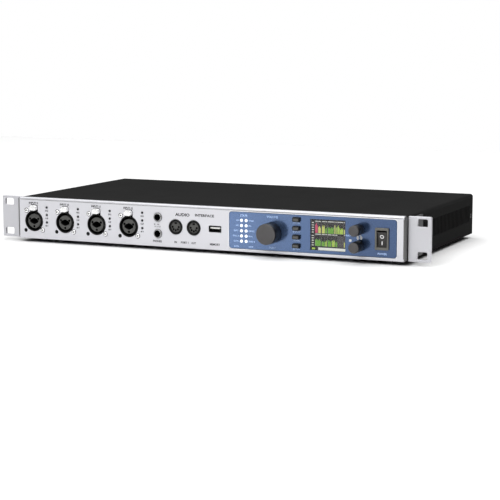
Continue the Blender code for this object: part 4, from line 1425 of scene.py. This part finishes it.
RACK_SLOT = (10.5, 7.5)
EAR_PLATE, EAR_FLANGE = 3.0, 2.5  # thickness of an ear's front and of its bent side


def rack_ears():
    """Each ear is a bent plate: silver in front with two slots for the rack screws, black behind."""
    for side, word in ((-1, "left"), (1, "right")):
        name = f"rack_ear_{word}"
        low, high = limits(name)
        near, far = near_far((low, high), front)
        piece = Piece(front, EAR_SILVER, REAR)
        slots = [opening(f"rack_slot_{word}_{level}") for level in ("lower", "upper")]
        steps = mouth(0.3, near, near - EAR_PLATE)
        holes = [(about(slot, *RACK_SLOT, 1.5, 5), steps) for slot in slots]
        piece.plate(boxed(name, 0, 1.0, 4), rim(0.5, near, near - EAR_PLATE), holes)
        piece.paint = REAR
        inner = low.x if side > 0 else high.x
        flange = sorted((inner, inner + side * EAR_FLANGE))
        piece.solid(slab(flange, (low.z + 2, high.z - 2), 0.3, 2), [(0, near - 2.9), (0, far)])
        made = piece.finish(f"{name}_plate", "ear_silver", name)
        for polygon in made.data.polygons:
            if polygon.normal.y > 0.5:
                polygon.material_index = piece.materials.index(REAR)


def feet():
    for word in ("front_left", "front_right", "rear_left", "rear_right"):
        low, high = limits(f"foot_{word}")
        centre = ((low.x + high.x) / 2, (low.y + high.y) / 2)
        radius = (high.x - low.x) / 2
        bottom = -low.z
        profile = [(radius, -high.z), (radius, bottom - 1.2), (radius - 0.3, bottom - 0.4)]
        profile += [(radius - 0.8, bottom), (3.6, bottom), (3.3, bottom - 0.3), (3.2, bottom - 2.4)]
        piece = Piece(below, RUBBER)
        piece.turned(centre, profile, 48)
        piece.finish(f"foot_{word}_pad", "foot_rubber", f"foot_{word}")


def carried_over():
    """CAD nodes whose shape is right get the finer material."""
    chosen = {
        "top_cover": COVER_WITH_PAINTED_SHADE,
        "base_tray": COVER,
        "main_board": BOARD,
        "front_board": BOARD,
        "power_supply": BOARD,
        "volume_shaft": PLATED,
        "upper_shaft": PLATED,
        "lower_shaft": PLATED,
    }
    for name, finish in chosen.items():
        mesh = frame["nodes"][name].data
        mesh.materials.clear()
        mesh.materials.append(finish)


# Room

AMBIENT = 0.06
LIGHTS = {
    "overhead": ((0.0, 0.2, 2.6), (0.0, 0.2, 0.0), (5.8, 5.8), 198.0),
    "front": ((0.04, -0.75, 0.5), (0.05, -0.1, 0.0), (0.4, 0.3), 2.4),
}


def room():
    """A pale floor under soft light from above and from the front, before a white background."""
    bpy.context.scene.view_settings.view_transform = "Standard"
    made = bmesh.new()
    reach = 1.3
    corners = [(x * reach, y * reach, cad_box[0].z) for x, y in ((-1, -1), (1, -1), (1, 1), (-1, 1))]
    made.faces.new([made.verts.new(corner) for corner in corners])
    data = bpy.data.meshes.new("floor")
    made.to_mesh(data)
    made.free()
    paper = surface("floor_paper", grey(0.94), 0.8, grain=2.0, mottle=0.01, bump=0.01, specular=0.1)
    data.materials.append(paper)
    floor = placed("floor", data)
    world = bpy.data.worlds.new("room")
    bpy.context.scene.world = world
    world.use_nodes = True
    tree = world.node_tree
    background = tree.nodes["Background"]
    background.inputs["Color"].default_value = (1.0, 1.0, 1.0, 1.0)
    seen = node(tree, "LightPath").outputs["Is Camera Ray"]
    strength = node(tree, "MapRange", {"Value": seen, "To Min": AMBIENT, "To Max": 1.0})
    tree.links.new(strength.outputs["Result"], background.inputs["Strength"])
    for name, (place, aim, size, power) in LIGHTS.items():
        light = bpy.data.lights.new(name, "AREA")
        light.shape = "RECTANGLE"
        light.size, light.size_y = size
        light.energy = power
        held = placed(name, light)
        held.location = place
        held.rotation_euler = (Vector(aim) - Vector(place)).to_track_quat("-Z", "Y").to_euler()


def camera():
    """The camera stands to the right of the middle and a little above, far off with a long lens."""
    azimuth, elevation = math.radians(24.28), math.radians(8.13)
    distance = 1511.7
    aim = Vector((54.9, 0.0, 2.5))
    level = math.cos(elevation)
    back = Vector((math.sin(azimuth) * level, -math.cos(azimuth) * level, math.sin(elevation)))
    data = bpy.data.cameras.new("camera")
    data.sensor_width = 36.0
    data.lens = 108.74
    data.clip_end = 50.0
    made = placed("camera", data)
    made.location = ORIGIN + (aim + back * distance) * MM
    made.rotation_mode = "QUATERNION"
    made.rotation_quaternion = (-back).to_track_quat("-Z", "Y")
    bpy.context.scene.camera = made


camera()
room()
front_plate()
overlay_face()
lamps("status_lamps", "led_white", LIT_WHITE, LAMPS, LAMP_RADIUS, OVERLAY_FACE + 0.1, -1.2)
lamps("level_lamps", "socket_grey", LENS_DARK, LEVELS, LEVEL_RADIUS, 0.0, -3.0)
front_screws()
input_sockets()
round_sockets("front_round_sockets", front, "front_midi_sockets", 7.5, 1, MOULDED)
flat_socket("front_flat_socket", front, "front_usb_socket", MOULDED, FLAP)
phones_sockets()
for knob_name in KNOBS:
    knob(knob_name)
menu_buttons()
power_switch()
display()
front_markings()
overlay_markings()
rear_plate()
mains()
round_sockets("rear_round_sockets", rear, "rear_midi_sockets", 8.2, -1, CHROME)
optical_ports()
fibre()
data_ports()
flat_socket("remote_socket", rear, "remote_port", CHROME, MOULDED)
coaxial_sockets()
xlr_outputs()
xlr_input()
jack_banks()
rear_screws()
rear_markings()
rack_ears()
feet()
carried_over()
